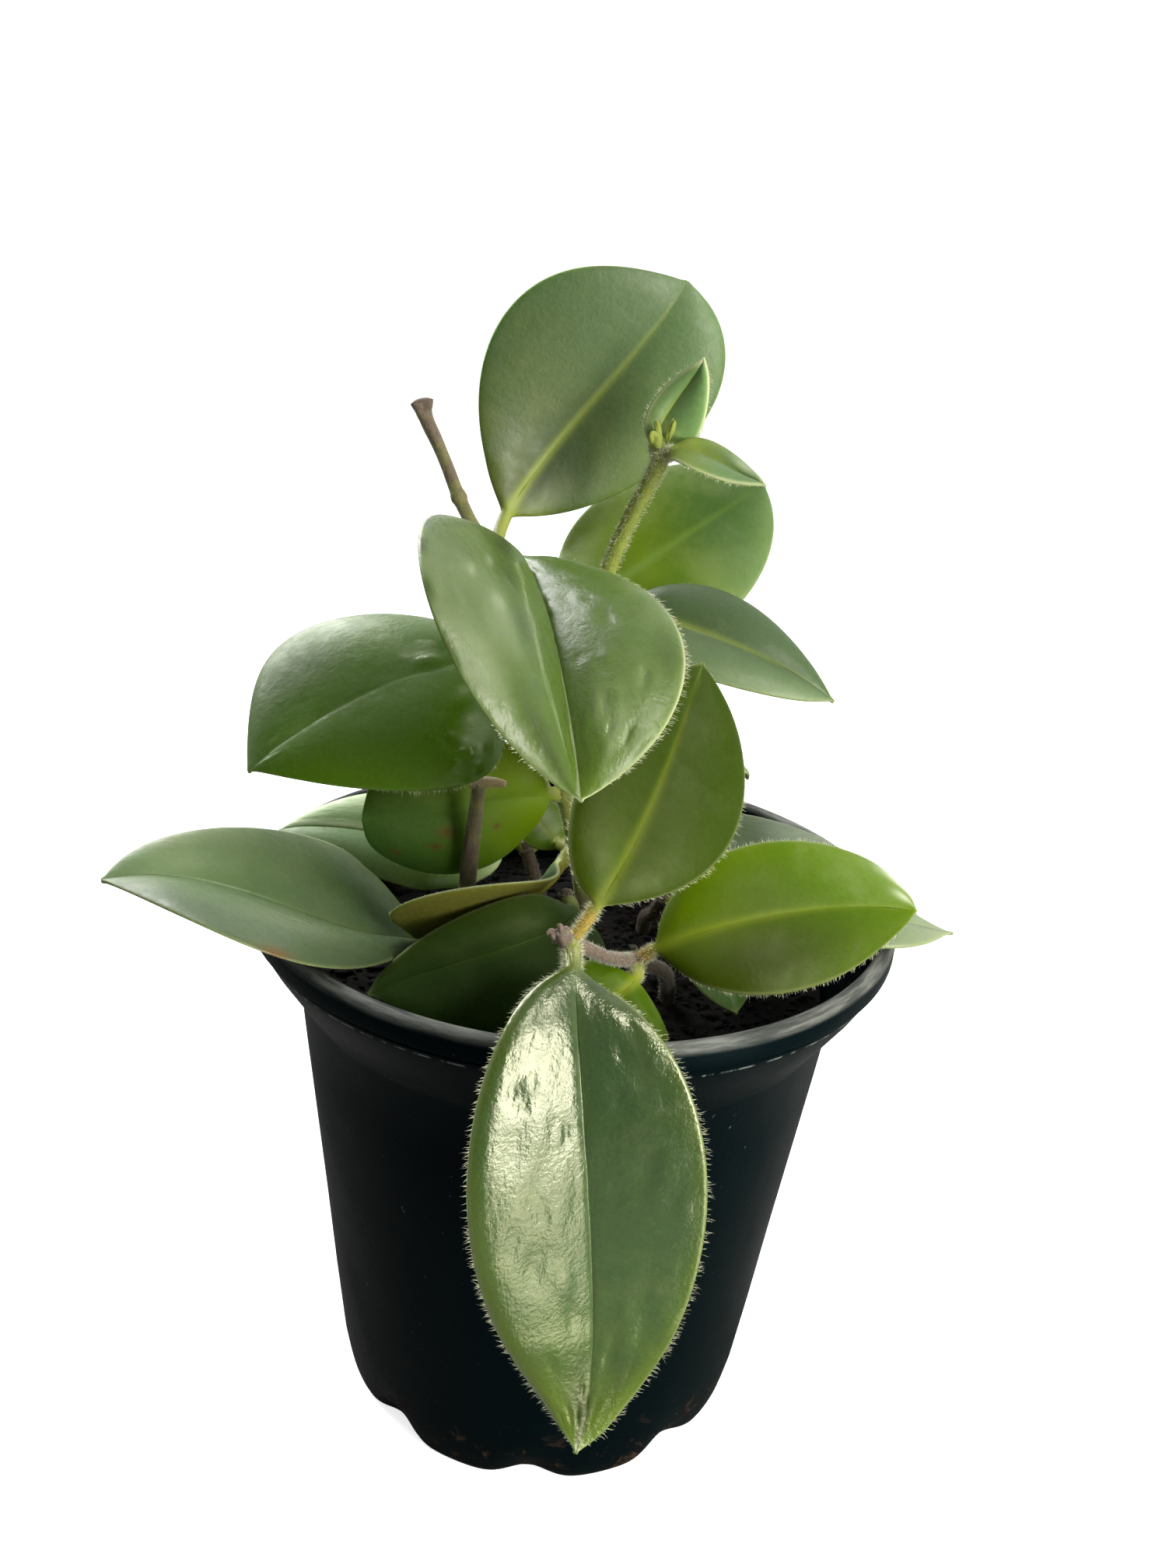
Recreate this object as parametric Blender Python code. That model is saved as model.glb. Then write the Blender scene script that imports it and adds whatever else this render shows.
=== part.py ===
"""Potted lipstick plant: thick oval leaves in pairs on arching stems, in a black nursery pot.

Metres, Z up. The pot's axis is the Z axis and its base lies on z = 0. The front of the plant looks along -Y.
Points of stems and leaves are given in millimetres.
"""

import math

import bpy
import numpy as np

MM = 0.001
GAP = 0.3

# Pot, in millimetres: 105 mm over the lip and 94 mm tall, as the common round nursery pot.
LIP_RADIUS = 52.5
POT_HEIGHT = 94.0
COLLAR_HEIGHT = 4.7
SHOULDER_RADIUS = 44.5
SHOULDER_Z = 77.0
FOOT_RADIUS = 36.3
WALL = 1.2
FLOOR = 1.6
POT_SEGMENTS = 72
NOTCH_COUNT = 9
NOTCH_ANGLE = math.radians(-90)
NOTCH_DEPTH = 1.5
NOTCH_TOP = 9.0
DRAIN_RADIUS = 3.0
DRAIN_RING = 25.0

# Potting soil, in millimetres.
SOIL_Z = 77.5
SOIL_MOUND = 2.5
SOIL_HOLE_DEPTH = 18.0

# Leaves, in millimetres.
LEAF_THICKNESS = 1.1
PETIOLE_RADIUS = 1.0
LEAF_STATIONS = 12
PETIOLE_STATIONS = 2
LEAF_ACROSS = (0.0, 0.5, 0.93, 1.0)
YOUNG_LEAVES = (
    "leaf_front_upright", "leaf_right_front", "leaf_front_hanging", "leaf_front_curled",
    "leaf_shoot_back", "leaf_inner_left",
)

# Stems, in millimetres.
STEM_SIDES = 8
MAIN_RADIUS = 1.3
SIDE_RADIUS = 1.2

# Leaf joints on the stems' axes, in millimetres.
MAIN_LOW = (-0.5, 5.0, 97.0)
MAIN_INNER = (-2.8, 5.5, 105.5)
MAIN_MIDDLE = (-8.5, 5.0, 126.0)
MAIN_TOP = (-16.0, 4.5, 145.5)
SHOOT_LOW = (-0.5, 8.5, 137.0)
SHOOT_TOP = (8.0, 4.0, 161.5)
FRONT_LOW = (9.5, -30.0, 95.0)
FRONT_TOP = (0.2, -45.5, 105.5)
LEFT_TOP = (-17.0, -3.0, 85.5)
RIGHT_TOP = (15.5, 6.0, 88.0)
CENTRE_TOP = (-1.0, -8.0, 93.0)
BACK_TOP = (-9.0, 17.0, 90.0)


def clear_scene():
    for old in list(bpy.data.objects):
        bpy.data.objects.remove(old)


def material(name, colour, roughness):
    made = bpy.data.materials.new(name)
    made.use_nodes = True
    shader = made.node_tree.nodes["Principled BSDF"]
    shader.inputs["Base Color"].default_value = (*colour, 1)
    shader.inputs["Roughness"].default_value = roughness
    shader.inputs["Metallic"].default_value = 0
    return made


def add_mesh(name, points_mm, faces, look=None):
    """An object from points in millimetres and faces as tuples of point numbers."""
    mesh = bpy.data.meshes.new(name)
    mesh.from_pydata((np.asarray(points_mm) * MM).tolist(), [], faces)
    mesh.shade_smooth()
    mesh.set_sharp_from_angle(angle=math.radians(40))
    if look:
        mesh.materials.append(look)
    made = bpy.data.objects.new(name, mesh)
    bpy.context.scene.collection.objects.link(made)
    return made


def helper(made):
    made.hide_render = True
    made.display_type = "WIRE"
    return made


def combine(target, other, operation):
    """A Boolean of two meshes, kept as a modifier on the first."""
    change = target.modifiers.new(operation.lower(), "BOOLEAN")
    change.operation = operation
    change.solver = "EXACT"
    change.object = helper(other)


def smoothstep(value, low, high):
    share = np.clip((value - low) / (high - low), 0, 1)
    return share * share * (3 - 2 * share)


def tube_faces(rings, sides):
    """Triangles of a closed tube of rings, split the same way all round, with a fan over each end."""
    ring, side = np.meshgrid(np.arange(rings - 1), np.arange(sides), indexing="ij")
    after = (side + 1) % sides
    a, b = ring * sides + side, ring * sides + after
    c, d = a + sides, b + sides
    walls = np.concatenate([np.stack([a, b, d], -1).reshape(-1, 3), np.stack([a, d, c], -1).reshape(-1, 3)])
    fan = np.arange(1, sides - 1)
    first = np.stack([fan * 0, fan + 1, fan], -1)
    last = np.stack([fan * 0, fan, fan + 1], -1) + (rings - 1) * sides
    return np.concatenate([walls, first, last]).tolist()


def turned_faces(rings, sides):
    """Faces of a turned solid whose first and last rings are single points on the axis."""
    side = np.arange(sides)
    after = (side + 1) % sides
    start = np.stack([side * 0, after + 1, side + 1], -1).tolist()
    last_ring = 1 + (rings - 1) * sides
    end = np.stack([side * 0 + last_ring + sides, last_ring + side, last_ring + after], -1).tolist()
    walls = []
    for ring in range(rings - 1):
        low = 1 + ring * sides
        walls += np.stack([low + side, low + after, low + sides + after, low + sides + side], -1).tolist()
    return start + walls + end


def foot_notch(angle):
    """How deep the foot is notched at an angle, 0 to 1, in narrow valleys that repeat round the pot."""
    return ((1 + np.cos(NOTCH_COUNT * (angle - NOTCH_ANGLE))) / 2) ** 3


def pot():
    """Tapered pot with a flared shoulder, a rolled lip and a notched foot with drain holes."""
    lip_inner = LIP_RADIUS - 2.6
    collar_z = POT_HEIGHT - COLLAR_HEIGHT
    outer = [
        (FOOT_RADIUS - 2, 0),
        (FOOT_RADIUS - 0.6, 0.6),
        (FOOT_RADIUS, 2),
        (FOOT_RADIUS + 0.9, 7),
        (FOOT_RADIUS + 1.3, 11),
        (SHOULDER_RADIUS, SHOULDER_Z),
        (SHOULDER_RADIUS + 2.2, SHOULDER_Z + 3),
        (SHOULDER_RADIUS + 5.4, SHOULDER_Z + 8.5),
        (LIP_RADIUS - 0.8, collar_z),
        (LIP_RADIUS, collar_z + 0.8),
        (LIP_RADIUS, POT_HEIGHT - 1.2),
        (LIP_RADIUS - 1.1, POT_HEIGHT),
        (lip_inner + 0.5, POT_HEIGHT),
    ]
    inner = [
        (lip_inner, POT_HEIGHT - 0.8),
        (LIP_RADIUS - 0.8 - WALL * 1.3, collar_z),
        (SHOULDER_RADIUS + 5.4 - WALL * 1.3, SHOULDER_Z + 9),
        (SHOULDER_RADIUS + 2.2 - WALL * 1.3, SHOULDER_Z + 3.5),
        (SHOULDER_RADIUS - WALL, SHOULDER_Z),
        (FOOT_RADIUS + 1.3 - WALL, 11),
        (FOOT_RADIUS - 0.4 - WALL, 3.6),
        (FOOT_RADIUS - 1.6 - WALL, FLOOR),
    ]
    angle = np.arange(POT_SEGMENTS) * 2 * math.pi / POT_SEGMENTS
    notch = foot_notch(angle)
    rings = [np.array([[0, 0, 0]])]
    for radius, z in outer + inner:
        depth = NOTCH_DEPTH * notch * (1 - smoothstep(z, 0, NOTCH_TOP))
        lifted = depth * 0.8 if 0 < z < 5 and (radius, z) in outer else 0 * depth
        across = radius - depth
        rings.append(np.stack([across * np.cos(angle), across * np.sin(angle), z + lifted], -1))
    rings.append(np.array([[0, 0, FLOOR]]))
    faces = turned_faces(len(outer + inner), POT_SEGMENTS)
    made = add_mesh("pot", np.concatenate(rings), faces, material("pot", (0.012, 0.016, 0.018), 0.42))
    combine(made, drain_cutters(), "DIFFERENCE")
    return made


def cylinders(name, places, radius, low, high, sides=14):
    """Upright cylinders as one mesh, for cutting holes. The places are (x, y)."""
    angle = np.arange(sides) * 2 * math.pi / sides
    circle = np.stack([np.cos(angle), np.sin(angle)], -1) * radius
    points, faces = [], []
    for place in places:
        first = sum(len(part) for part in points)
        for z in (low, high):
            points.append(np.column_stack([circle + place, np.full(sides, z)]))
        faces += (np.array(tube_faces(2, sides)) + first).tolist()
    return add_mesh(name, np.concatenate(points), faces)


def drain_cutters():
    turn = NOTCH_ANGLE + (np.arange(NOTCH_COUNT) + 0.5) * 2 * math.pi / NOTCH_COUNT
    places = DRAIN_RING * np.stack([np.cos(turn), np.sin(turn)], -1)
    return cylinders("drain_cutters", places, DRAIN_RADIUS, -2, FLOOR + 2)


def soil(stem_places):
    """The root ball: it fills the pot to just under the flare, with a slightly mounded top."""
    top_radius = SHOULDER_RADIUS - WALL - GAP
    side = [
        (FOOT_RADIUS - 6, FLOOR + GAP),
        (FOOT_RADIUS - 1.0, 12),
        (top_radius - 0.2, SOIL_Z - 1.5),
        (top_radius - 1.2, SOIL_Z),
        (top_radius * 0.8, SOIL_Z + SOIL_MOUND * 0.45),
        (top_radius * 0.45, SOIL_Z + SOIL_MOUND * 0.9),
    ]
    sides = 32
    angle = np.arange(sides) * 2 * math.pi / sides
    rings = [np.array([[0, 0, FLOOR + GAP]])]
    for number, (radius, z) in enumerate(side):
        bumps = 0.7 * np.sin(3 * angle + number) * np.sin(5 * angle + 2 * number) if number > 3 else 0 * angle
        rings.append(np.stack([radius * np.cos(angle), radius * np.sin(angle), z + bumps], -1))
    rings.append(np.array([[0, 0, SOIL_Z + SOIL_MOUND]]))
    look = material("soil", (0.035, 0.024, 0.016), 0.95)
    made = add_mesh("soil", np.concatenate(rings), turned_faces(len(side), sides), look)
    hole_radius = MAIN_RADIUS + GAP + 0.05
    holes = cylinders("stem_holes", stem_places, hole_radius, SOIL_Z - SOIL_HOLE_DEPTH, SOIL_Z + 8)
    combine(made, holes, "DIFFERENCE")
    return made


def smooth_path(route, steps):
    """Points and tangents on a smooth curve through the route, with some steps to each stretch."""
    route = np.asarray(route, float)
    ends = np.concatenate([[2 * route[0] - route[1]], route, [2 * route[-1] - route[-2]]])
    share = np.arange(steps) / steps
    points = []
    for before, start, end, after in zip(ends, ends[1:], ends[2:], ends[3:]):
        bend = [
            2 * start,
            end - before,
            2 * before - 5 * start + 4 * end - after,
            3 * start - before - 3 * end + after,
        ]
        points.append(sum(np.outer(share ** power, term) for power, term in enumerate(bend)) / 2)
    points = np.concatenate(points + [route[-1:]])
    tangents = np.gradient(points, axis=0)
    return points, tangents / np.linalg.norm(tangents, axis=1, keepdims=True)


def stem(name, route, radii, look=None, steps=3):
    """A round stem along a route. The radii are given at the route's points."""
    points, tangents = smooth_path(route, steps)
    at = np.linspace(0, len(route) - 1, len(points))
    radius = np.interp(at, np.arange(len(route)), radii)
    side = np.cross(tangents, (0.31, 0.9, 0.12))
    side /= np.linalg.norm(side, axis=1, keepdims=True)
    other = np.cross(tangents, side)
    angle = np.arange(STEM_SIDES) * 2 * math.pi / STEM_SIDES
    around = side[:, None] * np.cos(angle)[:, None] + other[:, None] * np.sin(angle)[:, None]
    rings = points[:, None] + around * radius[:, None, None]
    return add_mesh(name, rings.reshape(-1, 3), tube_faces(len(points), STEM_SIDES), look)


def rib_line(joint, base, middle, tip, clear):
    """The midrib: a cubic through joint, blade base, middle and tip, parted by distance.

    It starts at a distance of clear from the joint, outside the stem. The share is 0 at the blade's base and
    1 at the tip.
    """
    points = np.array([joint, base, middle, tip], float)
    lengths = np.linalg.norm(np.diff(points, axis=0), axis=1)
    place = np.concatenate([[0], np.cumsum(lengths)]) / lengths.sum()
    terms = np.linalg.solve(np.vander(place, 4), points)
    start = min(clear / lengths.sum(), place[1] * 0.8)
    along = np.concatenate([
        np.linspace(start, place[1], PETIOLE_STATIONS, endpoint=False),
        np.linspace(place[1], 1, LEAF_STATIONS),
    ])
    line = np.vander(along, 4) @ terms
    slope = np.stack([3 * along ** 2, 2 * along, np.ones_like(along)], -1) @ terms[:3]
    slope /= np.linalg.norm(slope, axis=1, keepdims=True)
    return line, slope, (along - place[1]) / (1 - place[1])


def blade_half(share, widest, outline):
    """Half width of the blade: share^a (1 - share)^b, scaled to its widest."""
    low, high = outline
    inside = np.clip(share / 0.97, 0, 1)
    peak = low ** low * high ** high / (low + high) ** (low + high)
    return widest * inside ** low * (1 - inside) ** high / peak


def leaf(
    name, joint, base, middle, tip, half, face,
    fold=(8, 8), cup=(-12, -12), outline=(0.55, 0.75), thickness=LEAF_THICKNESS, clear=2.2,
):
    """One leaf with its petiole, as a closed solid.

    Each half of the blade rises from the midrib at its fold and bends by its cup, in degrees, up to the margin.
    half holds the left and right half widths, with the tip pointing away and the upper face towards the viewer.
    The outline holds the powers of blade_half, as one pair for both halves or as a pair for each.
    """
    line, slope, share = rib_line(joint, base, middle, tip, clear)
    side = np.cross(slope, face)
    side /= np.linalg.norm(side, axis=1, keepdims=True)
    up = np.cross(side, slope)
    opened = smoothstep(share, 0, 0.14)[:, None]
    petiole = PETIOLE_RADIUS * (1 - np.clip(share, 0, 1)) ** 2
    reach = np.array(LEAF_ACROSS)
    halves = []
    for widest, rise, bend, powers in zip(half, fold, cup, np.broadcast_to(outline, (2, 2))):
        blade = blade_half(share, widest, powers)
        width = np.sqrt(petiole ** 2 + blade ** 2 + 0.35 ** 2)[:, None]
        first = np.radians(rise) * opened
        gain = np.radians(bend) * opened + 1e-6
        last = first + gain * reach
        across = width * (np.sin(last) - np.sin(first)) / gain
        height = width * (np.cos(first) - np.cos(last)) / gain
        halves.append((across, height, last))
    (across_l, height_l, lean_l), (across_r, height_r, lean_r) = halves
    across = np.concatenate([-across_l[:, :0:-1], across_r], 1)[..., None]
    height = np.concatenate([height_l[:, :0:-1], height_r], 1)[..., None]
    lean = np.concatenate([-lean_l[:, :0:-1], lean_r], 1)[..., None]
    middle_face = line[:, None] + side[:, None] * across + up[:, None] * height
    normal = up[:, None] * np.cos(lean) - side[:, None] * np.sin(lean)
    spread = np.concatenate([-reach[:0:-1], reach])
    round_lift = petiole[:, None] * np.sqrt(1 - spread ** 2)
    blade_lift = thickness / 2 * np.sqrt(1 - spread ** 8) * (1 - 0.5 * smoothstep(share, 0.88, 1))[:, None]
    web_lift = 0.3 * (1 - opened) * np.sqrt(1 - spread ** 2)
    lift = np.maximum(round_lift, blade_lift * opened + web_lift)[..., None]
    above, below = middle_face + normal * lift, middle_face - normal * lift
    rings = np.concatenate([above, below[:, -2:0:-1]], 1)
    faces = tube_faces(rings.shape[0], rings.shape[1])
    return add_mesh(name, rings.reshape(-1, 3), faces, leaf_look(name))


def leaf_look(name):
    """Young and front leaves are yellow-green, the others dark green."""
    if "leaf_young" not in bpy.data.materials:
        material("leaf_young", (0.16, 0.24, 0.03), 0.35)
        material("leaf_old", (0.045, 0.11, 0.03), 0.3)
    return bpy.data.materials["leaf_young" if name in YOUNG_LEAVES else "leaf_old"]


def main_stem(look):
    """The tall stem with its hairy side shoot and two spent flower stalks, grown as one piece."""
    soil_foot = (2.5, 4.0, SOIL_Z - SOIL_HOLE_DEPTH + GAP)
    soil_top = (2.5, 4.0, SOIL_Z + 1)
    route = [soil_foot, soil_top, (1.5, 4.6, 88), MAIN_LOW, MAIN_INNER, (-5.5, 5.5, 116), MAIN_MIDDLE,
             (-12.0, 5.0, 136), MAIN_TOP, (-16.6, 4.6, 147.5)]
    made = stem("stem_main", route, [MAIN_RADIUS] * 8 + [1.4, 0.9], look)
    shoot = stem("shoot", [(-8.2, 5.2, 122), (-4.5, 7.6, 130), SHOOT_LOW, (3.2, 7.6, 149), SHOOT_TOP,
                           (8.0, 4.2, 163)], [0.8, 1.2, 1.4, 1.35, 1.3, 0.8])
    stalk_route = [(-16.0, 5.0, 145.5), (-18.6, 6.2, 147), (-22.1, 10, 151), (-25.9, 13, 158.2), (-29.2, 15, 164),
                   (-29.7, 15, 165.5)]
    stalk = stem("flower_stalk", stalk_route, [0.7, 0.9, 0.85, 0.8, 1.2, 1.9])
    for branch in (shoot, stalk):
        combine(made, branch, "UNION")
    return made


def side_stems(look):
    """The shorter stems, each rooted in the soil and bare up to its leaves."""
    low = SOIL_Z - SOIL_HOLE_DEPTH + GAP
    top = SOIL_Z + 4
    routes = {
        "stem_front": [(16, -14, low), (16, -14, top - 4), (16, -14.2, top), (14.6, -21, 88.5), FRONT_LOW,
                       (5.5, -38, 99.5), FRONT_TOP, (-1.4, -47.2, 107.5)],
        "stem_left": [(-10, -2, low), (-10, -2, top), (-13, -2.4, 82.5), LEFT_TOP, (-18.5, -3.2, 86.5)],
        "stem_right": [(13, 10, low), (13, 10, top), (14.2, 8, 84), RIGHT_TOP, (16, 5.5, 89.5)],
        "stem_back": [(-6, 15, low), (-6, 15, top), (-7.4, 16, 86), BACK_TOP, (-9.6, 17.4, 91.5)],
        "stem_centre": [(1, -9, low), (1, -9, top), (0.2, -8.7, 87), CENTRE_TOP, (-1.3, -7.8, 94.5)],
    }
    for name, route in routes.items():
        made = stem(name, route, [SIDE_RADIUS + 0.1] * 2 + [SIDE_RADIUS] * (len(route) - 3) + [0.8], look)
        if name == "stem_left":
            old_route = [LEFT_TOP, (-17.3, -4.5, 90), (-17.0, -6.5, 97), (-15.9, -8.0, 110.5), (-15.8, -8.0, 111.5)]
            stalk = stem("old_flower_stalk", old_route, [0.8, 1.2, 1.35, 1.1, 1.6])
            combine(made, stalk, "UNION")
    return [route[0][:2] for route in routes.values()]


def upper_leaves():
    """Leaves of the tall stem and of its shoot, in pairs."""
    leaf("leaf_top_tall", MAIN_TOP, (-15.3, 11.5, 150.2), (-2.7, 17.0, 168.7), (9.8, 16.4, 186.4), (19.1, 16.1),
         (0.24, -1, 0.06), fold=(13, 3), cup=(-7, -11), outline=((0.95, 0.81), (0.8, 0.52)),
         clear=3.2)
    leaf("leaf_centre_forward", MAIN_TOP, (-13.2, -2.0, 145.4), (-5.7, -27.7, 140.9), (0.0, -48.6, 125.7),
         (16.6, 24.9), (0.07, -1, 1.6), fold=(14, 63), cup=(-18, -34), outline=((0.95, 0.67), (1.15, 0.65)))
    leaf("leaf_left_upper", MAIN_MIDDLE, (-12.3, 2.4, 127.6), (-31.6, -12.7, 126.4), (-48.2, -19.1, 114.8),
         (19.2, 19.7), (-0.11, -1, 1.21), fold=(-2, -2), cup=(-20, -19), outline=((0.75, 1.09), (0.61, 0.47)))
    leaf("leaf_middle_back", MAIN_MIDDLE, (-8, 10, 127.5), (-4, 28, 127), (4, 46, 114), (15, 15), (0.2, 0.3, 0.9))
    leaf("leaf_inner_left", MAIN_INNER, (-5.5, 3.7, 106.1), (-18.8, -3.4, 105.8), (-33.8, -8.5, 104.7),
         (11.6, 12.3), (0.02, -1, 0.2), fold=(-3, -1), cup=(-17, -15), outline=((0.54, 0.68), (0.69, 0.7)))
    leaf("leaf_inner_back", MAIN_INNER, (1, 8.5, 107), (16, 21, 110), (31, 31, 102), (13, 13), (0, -0.1, 1))
    leaf("leaf_edge_on", MAIN_LOW, (-2.4, 3, 94.4), (-12.6, -12.8, 91.2), (-24.1, -15.2, 88.1), (12.2, 4),
         (-0.25, 1, 0.72), fold=(0, 4), cup=(0, 6), outline=((0.73, 0.2), (0.9, 0.45)))
    leaf("leaf_inner_small", MAIN_LOW, (-3, 8.5, 95.5), (-7, 13, 97.5), (-11, 17, 101), (4.5, 4.5), (0.3, -0.9, 0.5))
    leaf("leaf_shoot_back", SHOOT_LOW, (1.5, 12.1, 138.5), (13.9, 21.4, 147.3), (26.7, 27.4, 156.1), (17.5, 15.3),
         (-0.48, -1, 0.35), fold=(-7, 2), cup=(-13, -9), outline=((0.34, 0.49), (0.45, 0.64)))
    leaf("leaf_shoot_right", SHOOT_LOW, (4.4, 5.8, 137.1), (19.9, -0.7, 135.2), (37.6, -2.8, 127.7), (10.4, 8.7),
         (0.03, -1, 1.39), fold=(6, 10), cup=(-16, -14), outline=((0.47, 0.96), (0.5, 0.79)))
    leaf("leaf_shoot_tip", SHOOT_TOP, (7.0, 6.4, 163.2), (10.1, 8.0, 170.3), (12.8, 5.8, 175.8), (2.9, 6.2),
         (0.1, -1, 0.28), fold=(11, 20), cup=(1, 10), outline=((0.56, 0.98), (0.49, 0.97)), thickness=0.9)
    leaf("leaf_shoot_side", SHOOT_TOP, (10.2, 2.8, 162.3), (17.0, -0.3, 161.2), (22.8, -4.3, 159.3), (3.3, 6.2),
         (-0.07, -1, 1.9), fold=(9, 16), cup=(-1, -2), outline=((0.36, 0.89), (0.52, 0.92)), thickness=0.9)


def front_leaves():
    """Leaves of the stem that leans out over the front of the rim."""
    leaf("leaf_front_hanging", FRONT_TOP, (0.6, -50.1, 104.1), (5.1, -62.6, 76.2), (6.6, -71.1, 48.1),
         (14.7, 15.6), (0.3, -1, 0.03), fold=(12, 20), cup=(-7, -15), outline=((0.78, 0.95), (0.79, 1.01)))
    leaf("leaf_front_upright", FRONT_TOP, (3.1, -43.8, 110.2), (10.1, -32.1, 122.7), (15.3, -19.0, 136.4),
         (10.5, 13.2), (0.22, -1, 0.2), fold=(6, 3), cup=(-8, -10), outline=((0.5, 0.75), (0.9, 0.86)))
    leaf("leaf_right_front", FRONT_LOW, (12.5, -32.4, 98.6), (30.8, -28.5, 103.7), (50.2, -22.1, 102.3),
         (11.1, 10.9), (0.07, -1, 0.94), fold=(4, 4), outline=((0.66, 0.82), (0.69, 1.02)))
    leaf("leaf_front_curled", FRONT_LOW, (9.1, -34.4, 94.2), (1.3, -39.3, 89.4), (-1.6, -42.5, 84.0), (12.4, 7.2),
         (0.25, -1, 0.65), fold=(14, 7), cup=(-9, -12), outline=((0.46, 0.67), (0.56, 0.55)), clear=2.7)


def low_leaves():
    """Leaves of the short stems, that lie on the soil and over the rim."""
    leaf("leaf_left_rim", LEFT_TOP, (-23.4, -12.7, 85.9), (-44.1, -27.6, 98.6), (-62.9, -37.4, 104.7),
         (20.3, 16.3), (0.31, -1, 1.78), fold=(36, 1), cup=(1, -10), outline=((1.42, 0.82), (0.23, 0.69)))
    leaf("leaf_left_back", LEFT_TOP, (-18.1, 2.4, 89.0), (-36.4, 4.0, 96.6), (-49.9, 3.2, 96.1), (8.7, 13.1),
         (0.03, -1, 2.22), fold=(2, 2), cup=(-11, -9), outline=((0.63, 0.8), (0.44, 1.1)))
    leaf("leaf_inner_front", CENTRE_TOP, (0.0, -12.4, 93.2), (-16.9, -24.9, 89.4), (-28.6, -30.1, 86.1),
         (14.4, 7.0), (0.25, -1, 0.56), fold=(5, 4), cup=(-11, -12), outline=((0.5, 1.06), (0.69, 1.05)))
    leaf("leaf_soil_right", RIGHT_TOP, (20.5, 1, 88), (24, -13, 86.5), (25.5, -26, 85.3), (5.5, 6.5),
         (0, -0.4, 0.9), outline=(0.6, 0.8))
    leaf("leaf_right_rim", RIGHT_TOP, (19.7, 9.0, 90.4), (34.9, -6.0, 98.3), (60.8, -8.6, 92.7), (15.2, 12.9),
         (0.2, -1, 3.01), fold=(12, 4), cup=(-7, -11), outline=((0.2, 1.07), (0.7, 1.16)))
    leaf("leaf_back_rim", RIGHT_TOP, (14, 12, 91), (6, 33, 99), (1, 55, 96.5), (12, 12), (0, 0.1, 1))
    leaf("leaf_back_left", BACK_TOP, (-13, 19, 92), (-27, 30, 97), (-38, 43, 96), (11, 11), (-0.1, 0.1, 1))
    leaf("leaf_back_small", BACK_TOP, (-6.3, 21, 91.2), (-2.5, 31, 93), (0, 41, 90), (7, 6), (0, 0.2, 1),
         clear=1.6)


def main():
    clear_scene()
    stem_look = material("stem", (0.09, 0.1, 0.03), 0.6)
    pot()
    main_stem(stem_look)
    places = side_stems(stem_look)
    soil([(2.5, 4.0)] + places)
    upper_leaves()
    front_leaves()
    low_leaves()


main()
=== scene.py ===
"""Looks of a young lipstick plant in its black nursery pot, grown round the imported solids.

Metres, Z up. The pot's axis is the Z axis and its base lies on z = 0. The front of the plant looks along -Y.
Points of the pot, stems and leaves are given in millimetres.
"""

import math
import bpy
import numpy as np
from mathutils import Matrix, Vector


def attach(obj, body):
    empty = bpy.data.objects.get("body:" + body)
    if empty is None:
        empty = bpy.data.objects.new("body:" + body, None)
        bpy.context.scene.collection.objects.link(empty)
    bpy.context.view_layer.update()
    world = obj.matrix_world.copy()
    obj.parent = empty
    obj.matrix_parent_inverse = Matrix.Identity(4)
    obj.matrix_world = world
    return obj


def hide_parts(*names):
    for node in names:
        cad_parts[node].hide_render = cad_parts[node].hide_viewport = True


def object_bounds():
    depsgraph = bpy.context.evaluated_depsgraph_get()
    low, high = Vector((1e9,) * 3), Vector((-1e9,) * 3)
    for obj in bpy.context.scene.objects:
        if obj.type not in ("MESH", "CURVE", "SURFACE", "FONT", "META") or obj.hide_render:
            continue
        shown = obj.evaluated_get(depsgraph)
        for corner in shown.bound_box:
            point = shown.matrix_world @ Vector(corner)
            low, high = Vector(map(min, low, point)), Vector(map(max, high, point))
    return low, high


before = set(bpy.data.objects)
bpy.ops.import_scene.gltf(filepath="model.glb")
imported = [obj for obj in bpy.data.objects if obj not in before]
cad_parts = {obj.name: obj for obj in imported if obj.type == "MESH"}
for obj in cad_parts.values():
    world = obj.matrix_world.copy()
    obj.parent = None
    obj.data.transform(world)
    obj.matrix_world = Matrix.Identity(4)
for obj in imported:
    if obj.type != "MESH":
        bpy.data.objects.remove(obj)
cad_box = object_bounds()


# Camera. It stands a hand's breadth outside the rim and looks down a little on the pot, tilted to one side,
# with the wide lens of a telephone.
CAMERA_PLACE = (0.0, -0.181, 0.1775)
CAMERA_YAW, CAMERA_PITCH, CAMERA_ROLL = np.radians((0.3, -20.45, 4.65))
CAMERA_LENS = 27.5

forward = np.array([
    math.sin(CAMERA_YAW) * math.cos(CAMERA_PITCH),
    math.cos(CAMERA_YAW) * math.cos(CAMERA_PITCH),
    math.sin(CAMERA_PITCH),
])
level = np.cross(forward, (0, 0, 1))
level /= np.linalg.norm(level)
upright = np.cross(level, forward)
camera_right = level * math.cos(CAMERA_ROLL) + upright * math.sin(CAMERA_ROLL)
camera_up = upright * math.cos(CAMERA_ROLL) - level * math.sin(CAMERA_ROLL)
camera = bpy.data.objects.new("camera", bpy.data.cameras.new("camera"))
placed = np.eye(4)
placed[:3] = np.column_stack([camera_right, camera_up, -forward, CAMERA_PLACE])
camera.matrix_world = Matrix(placed.tolist())
camera.data.sensor_width = 36
camera.data.lens = CAMERA_LENS
camera.data.clip_start = 0.01
bpy.context.scene.collection.objects.link(camera)
bpy.context.scene.camera = camera


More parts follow.
